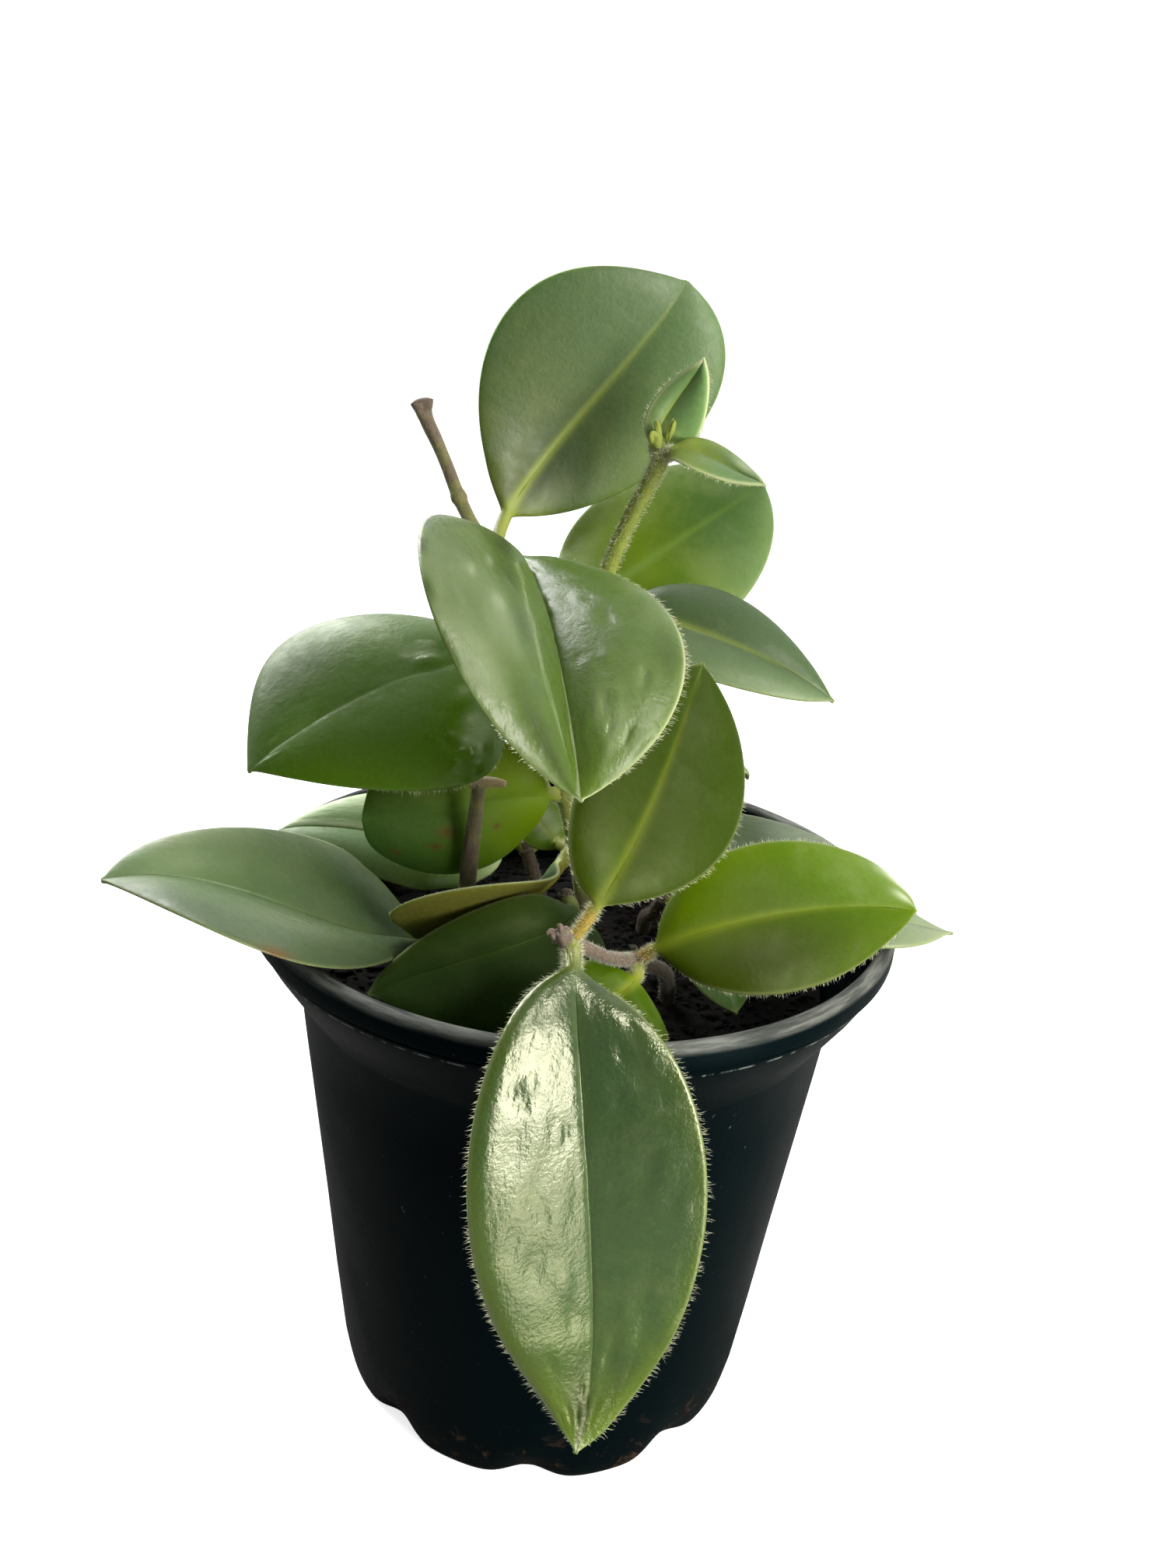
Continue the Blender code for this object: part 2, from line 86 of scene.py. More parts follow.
# Pot. A thin black plastic nursery pot, moulded in one piece: tapered wall, flared shoulder, a rolled lip over a
# narrow collar, and a foot with nine notches and nine drain holes. Satin, scuffed on the lip, soil dried on its foot.
# A highlight is painted on the lip, stronger to the right, and in dashes along the crease under the collar.
MM = 0.001
NOTCH_COUNT = 9
NOTCH_ANGLE = math.radians(-90)
NOTCH_DEPTH = 1.5
NOTCH_HEIGHT = 9
DRAIN_RING = 25
DRAIN_RADIUS = 3
DRAIN_SIDES = 32
DRAIN_CUT = (-2.0, 4.0)
POT_SIDES = 288
# Height of the painted highlight along the crease under the collar.
CREASE_HIGHLIGHT_Z = 0.0887
POT_OUTER = [
    (30.0, 1.0), (33.2, 0.2), (34.3, 0), (35.2, 0.2), (35.8, 0.7), (36.2, 1.6), (36.6, 3.5), (37.2, 7), (37.6, 11),
    (38.6, 20), (40.2, 36), (41.9, 52), (43.5, 67), (44.5, 77), (45.3, 78.6), (46.7, 80.6), (48.3, 83.2),
    (49.9, 85.8), (51.0, 87.9), (51.55, 89.0), (51.6, 89.35), (51.45, 89.5), (51.5, 89.75), (52.05, 90.0),
    (52.4, 90.3), (52.5, 90.8), (52.5, 92.6), (52.35, 93.2), (52.0, 93.7), (51.5, 93.95), (51.0, 94.0), (50.6, 93.95),
]
POT_INNER = [
    (50.2, 93.7), (49.95, 93.2), (50.0, 91.5), (50.05, 89.6), (49.0, 87.2), (47.6, 84.6), (45.2, 80.8), (44.0, 78.9),
    (43.3, 77), (41.0, 55), (38.6, 31), (36.5, 11), (34.8, 3.8), (34.2, 2.4), (33.2, 1.75), (31.5, 1.6),
]


def smoothstep(value, low, high):
    """Rises smoothly from 0 at low to 1 at high."""
    share = np.clip((value - low) / (high - low), 0, 1)
    return share * share * (3 - 2 * share)


def make_piece(name, parts, looks):
    """One object from parts. A part is (points in millimetres, arrays of faces, number of its look, values by
    name)."""
    points, totals, corners, numbers, first = [], [], [], [], 0
    for part_points, arrays, number, _ in parts:
        for faces in map(np.asarray, arrays):
            totals.append(np.full(len(faces), faces.shape[1]))
            corners.append((faces + first).ravel())
            numbers.append(np.full(len(faces), number))
        points.append(part_points)
        first += len(part_points)
    totals, corners = np.concatenate(totals), np.concatenate(corners)
    mesh = bpy.data.meshes.new(name)
    mesh.vertices.add(first)
    mesh.vertices.foreach_set("co", (np.concatenate(points) * MM).astype(np.float32).ravel())
    mesh.loops.add(len(corners))
    mesh.loops.foreach_set("vertex_index", corners.astype(np.int32))
    mesh.polygons.add(len(totals))
    mesh.polygons.foreach_set("loop_start", np.concatenate([[0], np.cumsum(totals)[:-1]]).astype(np.int32))
    mesh.polygons.foreach_set("material_index", np.concatenate(numbers).astype(np.int32))
    mesh.polygons.foreach_set("use_smooth", np.ones(len(totals), bool))
    mesh.update(calc_edges=True)
    for value_name in sorted({key for part in parts for key in part[3]}):
        values = np.concatenate([np.broadcast_to(part[3].get(value_name, 0.0), len(part[0])) for part in parts])
        mesh.attributes.new(value_name, "FLOAT", "POINT").data.foreach_set("value", values.astype(np.float32))
    for look in looks:
        mesh.materials.append(look)
    piece = bpy.data.objects.new(name, mesh)
    bpy.context.scene.collection.objects.link(piece)
    return piece


def stand_for(piece, node):
    """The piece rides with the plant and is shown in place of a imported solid."""
    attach(piece, "root")
    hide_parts(node)


def new_look(name, **plain):
    """A material and its Principled shader, with plain numbers set on the shader's own inputs."""
    look = bpy.data.materials.new(name)
    look.use_nodes = True
    shader = look.node_tree.nodes["Principled BSDF"]
    for key, value in plain.items():
        shader.inputs[key.replace("_", " ")].default_value = value
    return look, shader


def wire(look, kind, inputs, output=0, **settings):
    """Adds a shader node whose inputs are numbers or other nodes' outputs, and gives one of its outputs."""
    made = look.node_tree.nodes.new(kind)
    for key, value in settings.items():
        setattr(made, key, value)
    for key, value in inputs.items():
        if isinstance(value, bpy.types.NodeSocket):
            look.node_tree.links.new(value, made.inputs[key])
        else:
            made.inputs[key].default_value = value
    return made.outputs[output]


def place(look):
    """Where a point of the object is, in metres."""
    return wire(look, "ShaderNodeTexCoord", {}, "Object")


def value_of(look, name):
    """A named value that the mesh carries."""
    return wire(look, "ShaderNodeAttribute", {}, "Fac", attribute_name=name)


def spread(look, value, low, high, start=0.0, end=1.0):
    """Start below low, end above high, and smooth between them."""
    return wire(look, "ShaderNodeMapRange", {
        "Value": value, "From Min": low, "From Max": high, "To Min": start, "To Max": end,
    }, interpolation_type="SMOOTHSTEP")


def noise(look, vector, scale, detail, rough=0.55, distort=0.0):
    """Cloudy noise from 0 to 1, with about scale clouds to a metre."""
    return wire(look, "ShaderNodeTexNoise", {
        "Vector": vector, "Scale": scale, "Detail": detail, "Roughness": rough, "Distortion": distort,
    })


def colours(look, share, first, second):
    """A mix of two colours, the first at share 0 and the second at 1."""
    return wire(look, "ShaderNodeMix", {0: share, 6: first, 7: second}, 2, data_type="RGBA")


def sums(look, kind, first, second):
    """One sum, of the kind a Math node can do."""
    return wire(look, "ShaderNodeMath", {0: first, 1: second}, operation=kind)


def times(look, first, second):
    return sums(look, "MULTIPLY", first, second)


def plus(look, first, second):
    return sums(look, "ADD", first, second)


def stretched(look, vector, scale):
    """The place, stretched by a scale along each axis."""
    return wire(look, "ShaderNodeMapping", {"Vector": vector, "Scale": scale})


def feed(look, shader, name, socket):
    """Wires an output to one of the shader's inputs."""
    look.node_tree.links.new(socket, shader.inputs[name])


def bumped(look, shader, height, distance, strength=1.0):
    """Feeds a height into the shader's normal. The distance is in metres."""
    feed(look, shader, "Normal",
         wire(look, "ShaderNodeBump", {"Height": height, "Distance": distance, "Strength": strength}))


def rgb(red, green, blue):
    return (red, green, blue, 1.0)


def foot_notch(angle):
    """How deep the foot is notched at an angle, 0 to 1, in narrow valleys that repeat round the pot."""
    return ((1 + np.cos(NOTCH_COUNT * (angle - NOTCH_ANGLE))) / 2) ** 3


def turns(count):
    """Angles at even steps once round."""
    return np.arange(count) * 2 * math.pi / count


def ring_walls(rings, sides):
    """Quads between rings of the same number of points."""
    ring, side = np.meshgrid(np.arange(rings - 1), np.arange(sides), indexing="ij")
    after = (side + 1) % sides
    corners = [ring * sides + side, ring * sides + after, (ring + 1) * sides + after, (ring + 1) * sides + side]
    return np.stack(corners, -1).reshape(-1, 4)


def capped_tube(rings, sides):
    """Faces of a tube of rings with a flat cap on each end."""
    ring = np.arange(sides)[None]
    return [ring_walls(rings, sides), ring[:, ::-1], ring + (rings - 1) * sides]


def fanned_tube(rings, sides):
    """Faces of a tube of rings whose ends close on the first and the last point, each in a fan."""
    side = np.arange(sides)
    after = (side + 1) % sides
    last = 1 + (rings - 1) * sides
    return [np.stack([side * 0, after + 1, side + 1], -1), ring_walls(rings, sides) + 1,
            np.stack([side * 0 + last + sides, last + side, last + after], -1)]


def turned_pot():
    """The profile turned round Z. Near the foot the radius shrinks and the edge rises by the notch's depth."""
    profile = np.array(POT_OUTER + POT_INNER)
    angle = turns(POT_SIDES)
    radius, z = profile[:, :1], profile[:, 1:]
    outside = (np.arange(len(profile)) < len(POT_OUTER))[:, None]
    depth = NOTCH_DEPTH * foot_notch(angle) * (1 - smoothstep(z, 0, NOTCH_HEIGHT)) * (radius > 31)
    lifted = depth * 0.8 * ((z > 0.1) & (z < 5) & outside)
    across = radius - depth
    rings = np.stack([across * np.cos(angle), across * np.sin(angle), z + lifted], -1)
    points = np.concatenate([[[0, 0, POT_OUTER[0][1]]], rings.reshape(-1, 3), [[0, 0, POT_INNER[-1][1]]]])
    return points, fanned_tube(len(profile), POT_SIDES)


def pot_look():
    """Black plastic with a blue-green cast: mould grain, a grey band along the lip that is partly scuffs and partly
    painted highlight, stronger to the right, a painted highlight in dashes along the crease below the collar, pale
    flecks, dust, and dried soil low down."""
    look, shader = new_look("pot_plastic", Specular_IOR_Level=0.03, Specular_Tint=rgb(0.4, 0.8, 1.0))
    where = place(look)
    x, y, height = (wire(look, "ShaderNodeSeparateXYZ", {"Vector": where}, axis) for axis in range(3))
    out = wire(look, "ShaderNodeVectorMath", {0: stretched(look, where, (1, 1, 0))}, "Value", operation="LENGTH")
    arc = times(look, sums(look, "ARCTAN2", y, x), 0.05)
    around = wire(look, "ShaderNodeCombineXYZ", {"X": arc, "Y": out, "Z": height})
    grain = noise(look, where, 1400, 4)
    cloud = noise(look, where, 38, 4, 0.6, 0.4)
    low = spread(look, height, 0.003, 0.016, 1, 0)
    crust_noise = noise(look, where, 190, 5, 0.65, 0.6)
    crust = times(look, low, spread(look, crust_noise, 0.57, 0.66))
    dust = times(look, spread(look, cloud, 0.5, 0.78), 0.35)
    black = colours(look, dust, rgb(0.0004, 0.003, 0.004), rgb(0.003, 0.01, 0.013))
    streak = noise(look, stretched(look, around, (0.12, 1, 1)), 900, 4, 0.6)
    # The grey lip band is partly scuffs and partly a painted highlight, stronger to the right where the light falls.
    lip = times(look, spread(look, height, 0.0925, 0.0937), spread(look, streak, 0.35, 0.7, 0.25, 0.85))
    scuffs_and_highlights = colours(look, times(look, lip, spread(look, x, -0.05, 0.03, 0.6, 1.0)), black,
                   rgb(0.24, 0.25, 0.23))
    # A painted highlight in dashes along the crease under the collar, with pale flecks.
    line = spread(look, sums(look, "ABSOLUTE", sums(look, "SUBTRACT", height, CREASE_HIGHLIGHT_Z), 0.0), 0.0001, 0.0003, 1, 0)
    dashes = spread(look, noise(look, stretched(look, around, (1, 0, 0)), 420, 3), 0.46, 0.56)
    flecks = spread(look, noise(look, around, 800, 2), 0.73, 0.78, 0, 0.5)
    flecks_and_crease_highlight = sums(look, "MAXIMUM", times(look, line, dashes), flecks)
    scuffs_and_highlights = colours(look, times(look, flecks_and_crease_highlight, 0.6), scuffs_and_highlights, rgb(0.22, 0.25, 0.25))
    feed(look, shader, "Base Color", colours(look, crust, scuffs_and_highlights, rgb(0.045, 0.03, 0.02)))
    feed(look, shader, "Roughness", plus(look, spread(look, cloud, 0.3, 0.7, 0.34, 0.44),
                                         times(look, crust, 0.4)))
    bumps = plus(look, times(look, grain, 0.5), times(look, crust, 5.0))
    bumped(look, shader, bumps, 0.00007)
    return look


pot_points, pot_faces = turned_pot()
pot_shell = make_piece("pot_shell", [(pot_points, pot_faces, 0, {})], [pot_look()])
drain_angle = NOTCH_ANGLE + (np.arange(NOTCH_COUNT) + 0.5) * 2 * math.pi / NOTCH_COUNT
drain_turn = turns(DRAIN_SIDES)
drain_parts = []
for angle in drain_angle:
    circle = np.column_stack([DRAIN_RING * math.cos(angle) + DRAIN_RADIUS * np.cos(drain_turn),
                              DRAIN_RING * math.sin(angle) + DRAIN_RADIUS * np.sin(drain_turn)])
    plug = np.concatenate([np.column_stack([circle, np.full(DRAIN_SIDES, z)]) for z in DRAIN_CUT])
    drain_parts.append((plug, capped_tube(2, DRAIN_SIDES), 0, {}))
drain_cutter = make_piece("drain_cutter", drain_parts, [])
holes = pot_shell.modifiers.new("drain_holes", "BOOLEAN")
holes.operation = "DIFFERENCE"
holes.solver = "EXACT"
holes.object = drain_cutter
bpy.context.view_layer.update()
cut_mesh = bpy.data.meshes.new_from_object(pot_shell.evaluated_get(bpy.context.evaluated_depsgraph_get()))
pot_shell.modifiers.clear()
pot_shell.data = cut_mesh
cut_mesh.set_sharp_from_angle(angle=math.radians(38))
bpy.data.objects.remove(drain_cutter)
stand_for(pot_shell, "pot")


# Soil. A root ball of dark peat that fills the pot to just under the flare, a little mounded, with crumbs of peat,
# bits of bark and a few white grains pressed into its top. The peat's colour is painted darker with the shade
# that falls inside the pot.
SOIL_Z = 77.5
SOIL_RADIUS = 43.0
SOIL_SIDES = 160
SOIL_RINGS = 68
SOIL_MOUND = 2.2
SOIL_WALL = [(42.8, 76), (41.0, 60), (38.4, 36), (35.4, 12), (32.0, 3.0), (30.0, 1.9)]


def hills(x, y, size, seed):
    """Smooth random hills: a sum of twelve waves in random directions, about size across, -1 to 1."""
    draw = np.random.default_rng(seed)
    turn, phase = draw.uniform(0, 2 * math.pi, (2, 12))
    length = size * draw.uniform(0.7, 1.6, 12)
    total = 0
    for direction, start, period in zip(turn, phase, length):
        total = total + np.sin((x * math.cos(direction) + y * math.sin(direction)) * 2 * math.pi / period + start)
    return total / 5


def soil_top(x, y):
    """Height of the soil over its flat rim: a low mound with lumps that die away at the wall."""
    out = np.hypot(x, y) / SOIL_RADIUS
    lumps = 0.45 * hills(x, y, 9, 1) + 0.3 * hills(x, y, 3.4, 2) + 0.16 * hills(x, y, 1.5, 3)
    return SOIL_MOUND * (1 - out ** 2) + lumps * (1 - smoothstep(out, 0.9, 1.0))


def soil_ball():
    """Rings from the middle of the top out to the wall, down the wall, and in under the bottom."""
    angle = turns(SOIL_SIDES)
    rings = []
    for radius in np.linspace(0.6, SOIL_RADIUS - 0.2, SOIL_RINGS):
        x, y = radius * np.cos(angle), radius * np.sin(angle)
        rings.append(np.stack([x, y, SOIL_Z + soil_top(x, y)], -1))
    for radius, z in SOIL_WALL:
        rings.append(np.stack([radius * np.cos(angle), radius * np.sin(angle), np.full(SOIL_SIDES, z)], -1))
    points = np.concatenate([[[0, 0, SOIL_Z + soil_top(0.0, 0.0)]], *rings, [[0, 0, SOIL_WALL[-1][1]]]])
    return points, [faces[:, ::-1] for faces in fanned_tube(len(rings), SOIL_SIDES)]


def crumbs(count, sizes, flat, seed):
    """Bits lying in the soil. Each is an octahedron stretched and turned at random, with two cuts to each edge."""
    draw = np.random.default_rng(seed)
    ball = np.array([[1, 0, 0], [-1, 0, 0], [0, 1, 0], [0, -1, 0], [0, 0, 1], [0, 0, -1]], float)
    faces = np.array([[0, 2, 4], [2, 1, 4], [1, 3, 4], [3, 0, 4], [2, 0, 5], [1, 2, 5], [3, 1, 5], [0, 3, 5]])
    middles = np.concatenate([(ball[faces[:, a]] + ball[faces[:, b]]) for a, b in ((0, 1), (1, 2), (2, 0))]) / 1.5
    points = np.concatenate([ball, middles])
    ab, bc, ca = (np.arange(8) + 6 + 8 * step for step in range(3))
    split = np.concatenate([
        np.stack([faces[:, 0], ab, ca], -1), np.stack([ab, faces[:, 1], bc], -1),
        np.stack([ca, bc, faces[:, 2]], -1), np.stack([ab, bc, ca], -1),
    ])
    _, kept, index = np.unique(np.round(points, 5), axis=0, return_index=True, return_inverse=True)
    points, split = points[kept], index.reshape(-1)[split]
    size = draw.uniform(*sizes, (count, 1, 1)) * draw.uniform(0.6, 1.3, (count, 1, 3)) * (1, 1, flat)
    turned = np.linalg.qr(draw.normal(size=(count, 3, 3)))[0]
    turned *= np.sign(np.linalg.det(turned))[:, None, None]
    lean = np.array([1, 1, 0.35])
    shape = points * size * draw.uniform(0.8, 1.2, (count, len(points), 1))
    shape = np.einsum("nij,nkj->nki", turned, shape) * lean
    out, turn = SOIL_RADIUS * 0.97 * np.sqrt(draw.uniform(0, 1, count)), draw.uniform(0, 2 * math.pi, count)
    x, y = out * np.cos(turn), out * np.sin(turn)
    centre = np.stack([x, y, SOIL_Z + soil_top(x, y) + 0.1], -1)
    every = (split[None] + (np.arange(count) * len(points))[:, None, None]).reshape(-1, 3)
    return (shape + centre[:, None]).reshape(-1, 3), [every]


def soil_look(name, dark, light, size):
    """Fibrous peat or bark: two browns in patches, rough, with fine crumb."""
    look, shader = new_look(name, Roughness=0.93, Specular_IOR_Level=0.25)
    where = place(look)
    patches = noise(look, where, size, 5, 0.7)
    feed(look, shader, "Base Color", colours(look, spread(look, patches, 0.4, 0.65), dark, light))
    bumped(look, shader, noise(look, where, size * 4, 4), 0.0003)
    return look


# The peat is painted near black: its own dark brown with the shade inside the pot painted in.
peat = soil_look("peat", rgb(0.0012, 0.0014, 0.001), rgb(0.006, 0.0052, 0.0036), 500)
bark = soil_look("bark", rgb(0.005, 0.0038, 0.0025), rgb(0.018, 0.012, 0.007), 900)
grit = soil_look("white_grit", rgb(0.08, 0.075, 0.06), rgb(0.17, 0.16, 0.13), 1500)
potting_mix = make_piece("potting_mix", [
    (*soil_ball(), 0, {}),
    (*crumbs(1500, (0.35, 0.95), 0.9, 11), 0, {}),
    (*crumbs(260, (0.8, 2.2), 0.35, 12), 1, {}),
    (*crumbs(42, (0.5, 1.1), 0.9, 13), 2, {}),
], [peat, bark, grit])
stand_for(potting_mix, "soil")


# Stems. Round, downy shoots that rise from the soil and swell a little at each pair of leaves. The old ones are
# mauve-brown, the young ones yellow-green. Two thin stalks are left of flowers, each with a flared, dried end.
MAIN_LOW = (-0.5, 5.0, 97.0)
MAIN_INNER = (-2.8, 5.5, 105.5)
MAIN_MIDDLE = (-8.5, 5.0, 126.0)
MAIN_TOP = (-16.0, 4.5, 145.5)
SHOOT_LOW = (-0.5, 8.5, 137.0)
SHOOT_TOP = (8.0, 4.0, 161.5)
FRONT_LOW = (9.5, -30.0, 95.0)
FRONT_TOP = (0.2, -45.5, 105.5)
LEFT_TOP = (-17.0, -3.0, 85.5)
RIGHT_TOP = (15.5, 6.0, 88.0)
CENTRE_TOP = (-1.0, -8.0, 93.0)
BACK_TOP = (-9.0, 17.0, 90.0)
STEM_SIDES = 28
STEM_STEPS = 16
STEM_RIPPLE = 0.03
HAIR_ROOT = 0.12
HAIR_KNEE = 0.55
HAIR_MARGIN = 0.05


def unit(vectors):
    """The same directions at length 1."""
    return vectors / np.linalg.norm(vectors, axis=-1, keepdims=True)


def smooth_path(route, steps):
    """Points and tangents on a smooth curve through the route, with some steps to each stretch."""
    route = np.asarray(route, float)
    ends = np.concatenate([[2 * route[0] - route[1]], route, [2 * route[-1] - route[-2]]])
    share = np.arange(steps) / steps
    points = []
    for before, start, end, after in zip(ends, ends[1:], ends[2:], ends[3:]):
        bend = [
            2 * start,
            end - before,
            2 * before - 5 * start + 4 * end - after,
            3 * start - before - 3 * end + after,
        ]
        points.append(sum(np.outer(share ** power, term) for power, term in enumerate(bend)) / 2)
    points = np.concatenate(points + [route[-1:]])
    return points, unit(np.gradient(points, axis=0))


def circles(axes, hints, count):
    """A unit circle of points square to each axis. Its first point is square to the hint too."""
    side = unit(np.cross(axes, hints))
    turn = turns(count)[:, None]
    return side[:, None] * np.cos(turn) + np.cross(axes, side)[:, None] * np.sin(turn)


def hair_part(roots, directions, lengths, thick, seed):
    """Hairs as thin three-sided cones with a bend half way, rooted a little under the skin. A piece's second look
    is the hair's. Hairs that would stand out of the solids' box are left out."""
    draw = np.random.default_rng(seed)
    count = len(roots)
    directions = unit(directions)
    ring = circles(directions, draw.normal(size=(count, 3)), 3)
    sway = draw.normal(0, 0.16, (count, 3)) * lengths[:, None]
    knee = roots + directions * lengths[:, None] * HAIR_KNEE + sway * 0.35
    tips = roots + directions * lengths[:, None] + sway
    low, high = np.array(cad_box) / MM
    inside = ((tips > low + HAIR_MARGIN) & (tips < high - HAIR_MARGIN)).all(1)
    base = (roots - directions * HAIR_ROOT)[:, None] + ring * thick
    points = np.concatenate([base, knee[:, None] + ring * thick * 0.62, tips[:, None]], 1)[inside]
    first = (np.arange(inside.sum()) * 7)[:, None, None]
    walls = np.array([[0, 1, 4, 3], [1, 2, 5, 4], [2, 0, 3, 5]]) + first
    ends = np.array([[3, 4, 6], [4, 5, 6], [5, 3, 6], [0, 2, 1]]) + first
    return points.reshape(-1, 3), [walls.reshape(-1, 4), ends.reshape(-1, 3)], 1, {}


def tube_part(route, radii, tone, nodes=(), lobes=0, number=0):
    """A round stem along a route. The radius follows the radii at the route's points and swells at the nodes, which
    are places on the route. Lobes flute its last stretch. The tone is from 0, green, to 1, brown, at each point.
    The number is that of its look."""
    points, tangents = smooth_path(route, STEM_STEPS)
    at = np.linspace(0, len(route) - 1, len(points))
    radius = np.interp(at, np.arange(len(route)), radii)
    for node in nodes:
        radius = radius + 0.3 * np.exp(-((at - node) / 0.09) ** 2)
    turn = turns(STEM_SIDES)
    around = circles(tangents, (0.31, 0.9, 0.12), STEM_SIDES)
    wobble = 1 + STEM_RIPPLE * np.sin(3 * turn + at[:, None] * 2.3)
    wobble = wobble + STEM_RIPPLE * 0.6 * np.sin(7 * turn - at[:, None] * 9)
    if lobes:
        wobble = wobble + 0.16 * smoothstep(at, len(route) - 2.3, len(route) - 1)[:, None] * np.cos(lobes * turn + 1)
    rings = points[:, None] + around * (radius[:, None] * wobble)[..., None]
    rings = np.concatenate([points[:1, None].repeat(STEM_SIDES, 1) + around[:1] * 0.05, rings,
                            points[-1:, None] + around[-1:] * (radius[-1] * 0.55) + tangents[-1] * 0.28 * radius[-1],
                            points[-1:, None] + around[-1:] * 0.05 + tangents[-1] * 0.36 * radius[-1]])
    brown = np.interp(at, np.arange(len(route)), tone)
    brown = np.concatenate([brown[:1], brown, brown[-1:], brown[-1:]]).repeat(STEM_SIDES)
    faces = capped_tube(len(rings), STEM_SIDES)
    return (rings.reshape(-1, 3), faces, number, {"brown": brown}), (points, around, radius, at)


def lump_part(centre, axis, size, tone, seed, rough):
    """A lumpy little body: an egg along an axis whose radius swells and sinks with six waves over its surface."""
    draw = np.random.default_rng(seed)
    steps, sides = 15, 20
    axis = unit(np.array(axis, float))
    side = unit(np.cross(axis, (0.3, 0.7, 0.5)))
    other = np.cross(axis, side)
    lean = (np.arange(steps) + 0.5)[:, None] / steps * math.pi
    turn = turns(sides)[None]
    ball = np.stack([np.sin(lean) * np.cos(turn), np.sin(lean) * np.sin(turn), np.cos(lean) + 0 * turn], -1)
    swell = sum(np.sin(ball @ draw.normal(0, 3.2, 3) + draw.uniform(0, 6)) for _ in range(6)) / 3
    ball = ball * (1 + rough * swell)[..., None] * size
    points = centre + ball[..., :1] * side + ball[..., 1:2] * other + ball[..., 2:] * axis
    faces = [part[:, ::-1] for part in capped_tube(steps, sides)]
    return points.reshape(-1, 3), faces, 0, {"brown": np.full(steps * sides, tone)}


def down(skin, count, length, thick, seed, span=(0, 99)):
    """Fine hairs all round a stem, standing out from its skin."""
    points, around, radius, at = skin
    draw = np.random.default_rng(seed)
    first, last = np.searchsorted(at, span)
    row = draw.integers(first, min(last, len(points)) - 1, count)
    share = draw.uniform(0, 1, (count, 1))
    column = draw.integers(0, STEM_SIDES, count)
    out = around[row, column]
    centre = points[row] * (1 - share) + points[row + 1] * share
    along = unit(points[row + 1] - points[row])
    lean = out + along * draw.normal(0.15, 0.3, (count, 1)) + draw.normal(0, 0.15, (count, 3))
    return hair_part(centre + out * radius[row][:, None], lean, length * draw.uniform(0.5, 1.2, count), thick, seed)


def stem_look(name, light, brown_dark, brown_light):
    """Downy bark: green to mauve-brown by the mesh's own tone, streaked along the stem, with fine bumps."""
    look, shader = new_look(name, Roughness=0.62, Specular_IOR_Level=0.3, Sheen_Weight=0.25,
                            Sheen_Roughness=0.4, Subsurface_Weight=0.15, Subsurface_Scale=0.0008)
    where = place(look)
    streak = noise(look, stretched(look, where, (1, 1, 0.3)), 900, 4, 0.6)
    patch = noise(look, where, 160, 3)
    tone = plus(look, value_of(look, "brown"), spread(look, patch, 0.3, 0.7, -0.16, 0.16))
    green = colours(look, streak, rgb(*[c * 0.6 for c in light]), rgb(*light))
    brown = colours(look, streak, brown_dark, brown_light)
    feed(look, shader, "Base Color", colours(look, spread(look, tone, 0.2, 0.8), green, brown))
    bumped(look, shader, noise(look, where, 2600, 3), 0.00012)
    return look


def hair_look():
    """Pale plant hair, lightened past its own whitish colour with a painted glow of the light shining through it."""
    look, shader = new_look("plant_hair", Roughness=0.5, Specular_IOR_Level=0.2)
    pale = noise(look, place(look), 300, 1)
    feed(look, shader, "Base Color", colours(look, pale, rgb(0.66, 0.69, 0.43), rgb(0.88, 0.88, 0.7)))
    return look


stem_skin = stem_look("stem_skin", (0.27, 0.33, 0.05), rgb(0.06, 0.043, 0.032), rgb(0.18, 0.135, 0.1))
dry_skin = stem_look("dried_stalk", (0.3, 0.26, 0.13), rgb(0.24, 0.18, 0.09), rgb(0.42, 0.34, 0.2))
plant_hair = hair_look()
SOIL_FOOT = SOIL_Z - 4

main_route = [(2.5, 4, SOIL_FOOT), (2.5, 4, 78.5), (1.5, 4.6, 88), MAIN_LOW, MAIN_INNER, (-5.5, 5.5, 116),
              MAIN_MIDDLE, (-12, 5, 136), MAIN_TOP, (-16.6, 4.6, 147.3)]
main_radii = [1.35] * 8 + [1.4, 0.9]
main_tone = [0.7, 0.6, 0.4, 0.3, 0.3, 0.3, 0.35, 0.35, 0.4, 0.4]
main_part, main_skin = tube_part(main_route, main_radii, main_tone, nodes=(3, 4, 6, 8))
shoot_route = [(-8.2, 5.2, 122), (-4.5, 7.6, 130), SHOOT_LOW, (3.2, 7.6, 149), (6.8, 5.2, 158), SHOOT_TOP,
               (8, 4.2, 163)]
shoot_part, shoot_skin = tube_part(shoot_route, [0.8, 1.2, 1.3, 1.2, 1.2, 1.25, 0.7],
                                   [0, -0.2, -0.2, -0.2, 0, 0.5, 0.2], nodes=(2, 5))
stalk_route = [(-16, 5, 145.5), (-18.6, 6.2, 147), (-22.1, 10, 151), (-25.9, 13, 158.2), (-29.0, 14.9, 163.4),
               (-29.8, 15.2, 165.8)]
stalk_part, stalk_skin = tube_part(stalk_route, [0.8, 0.95, 1.05, 0.98, 1.15, 1.9],
                                   [0.5, 0.55, 0.6, 0.65, 0.55, 0.75], nodes=(2.2,), lobes=4)
tip_buds = [
    lump_part((9.0, 4.6, 165.3), (0.25, 0.1, 1), (0.5, 0.8, 1.7), -0.2, 41, 0.2),
    lump_part((7.2, 4.7, 165.0), (-0.4, 0.1, 1), (0.5, 0.7, 1.4), 0.0, 42, 0.2),
    lump_part((6.9, 4.0, 163.4), (-0.5, -0.3, 1), (0.9, 1.0, 1.5), -0.2, 43, 0.25),
]
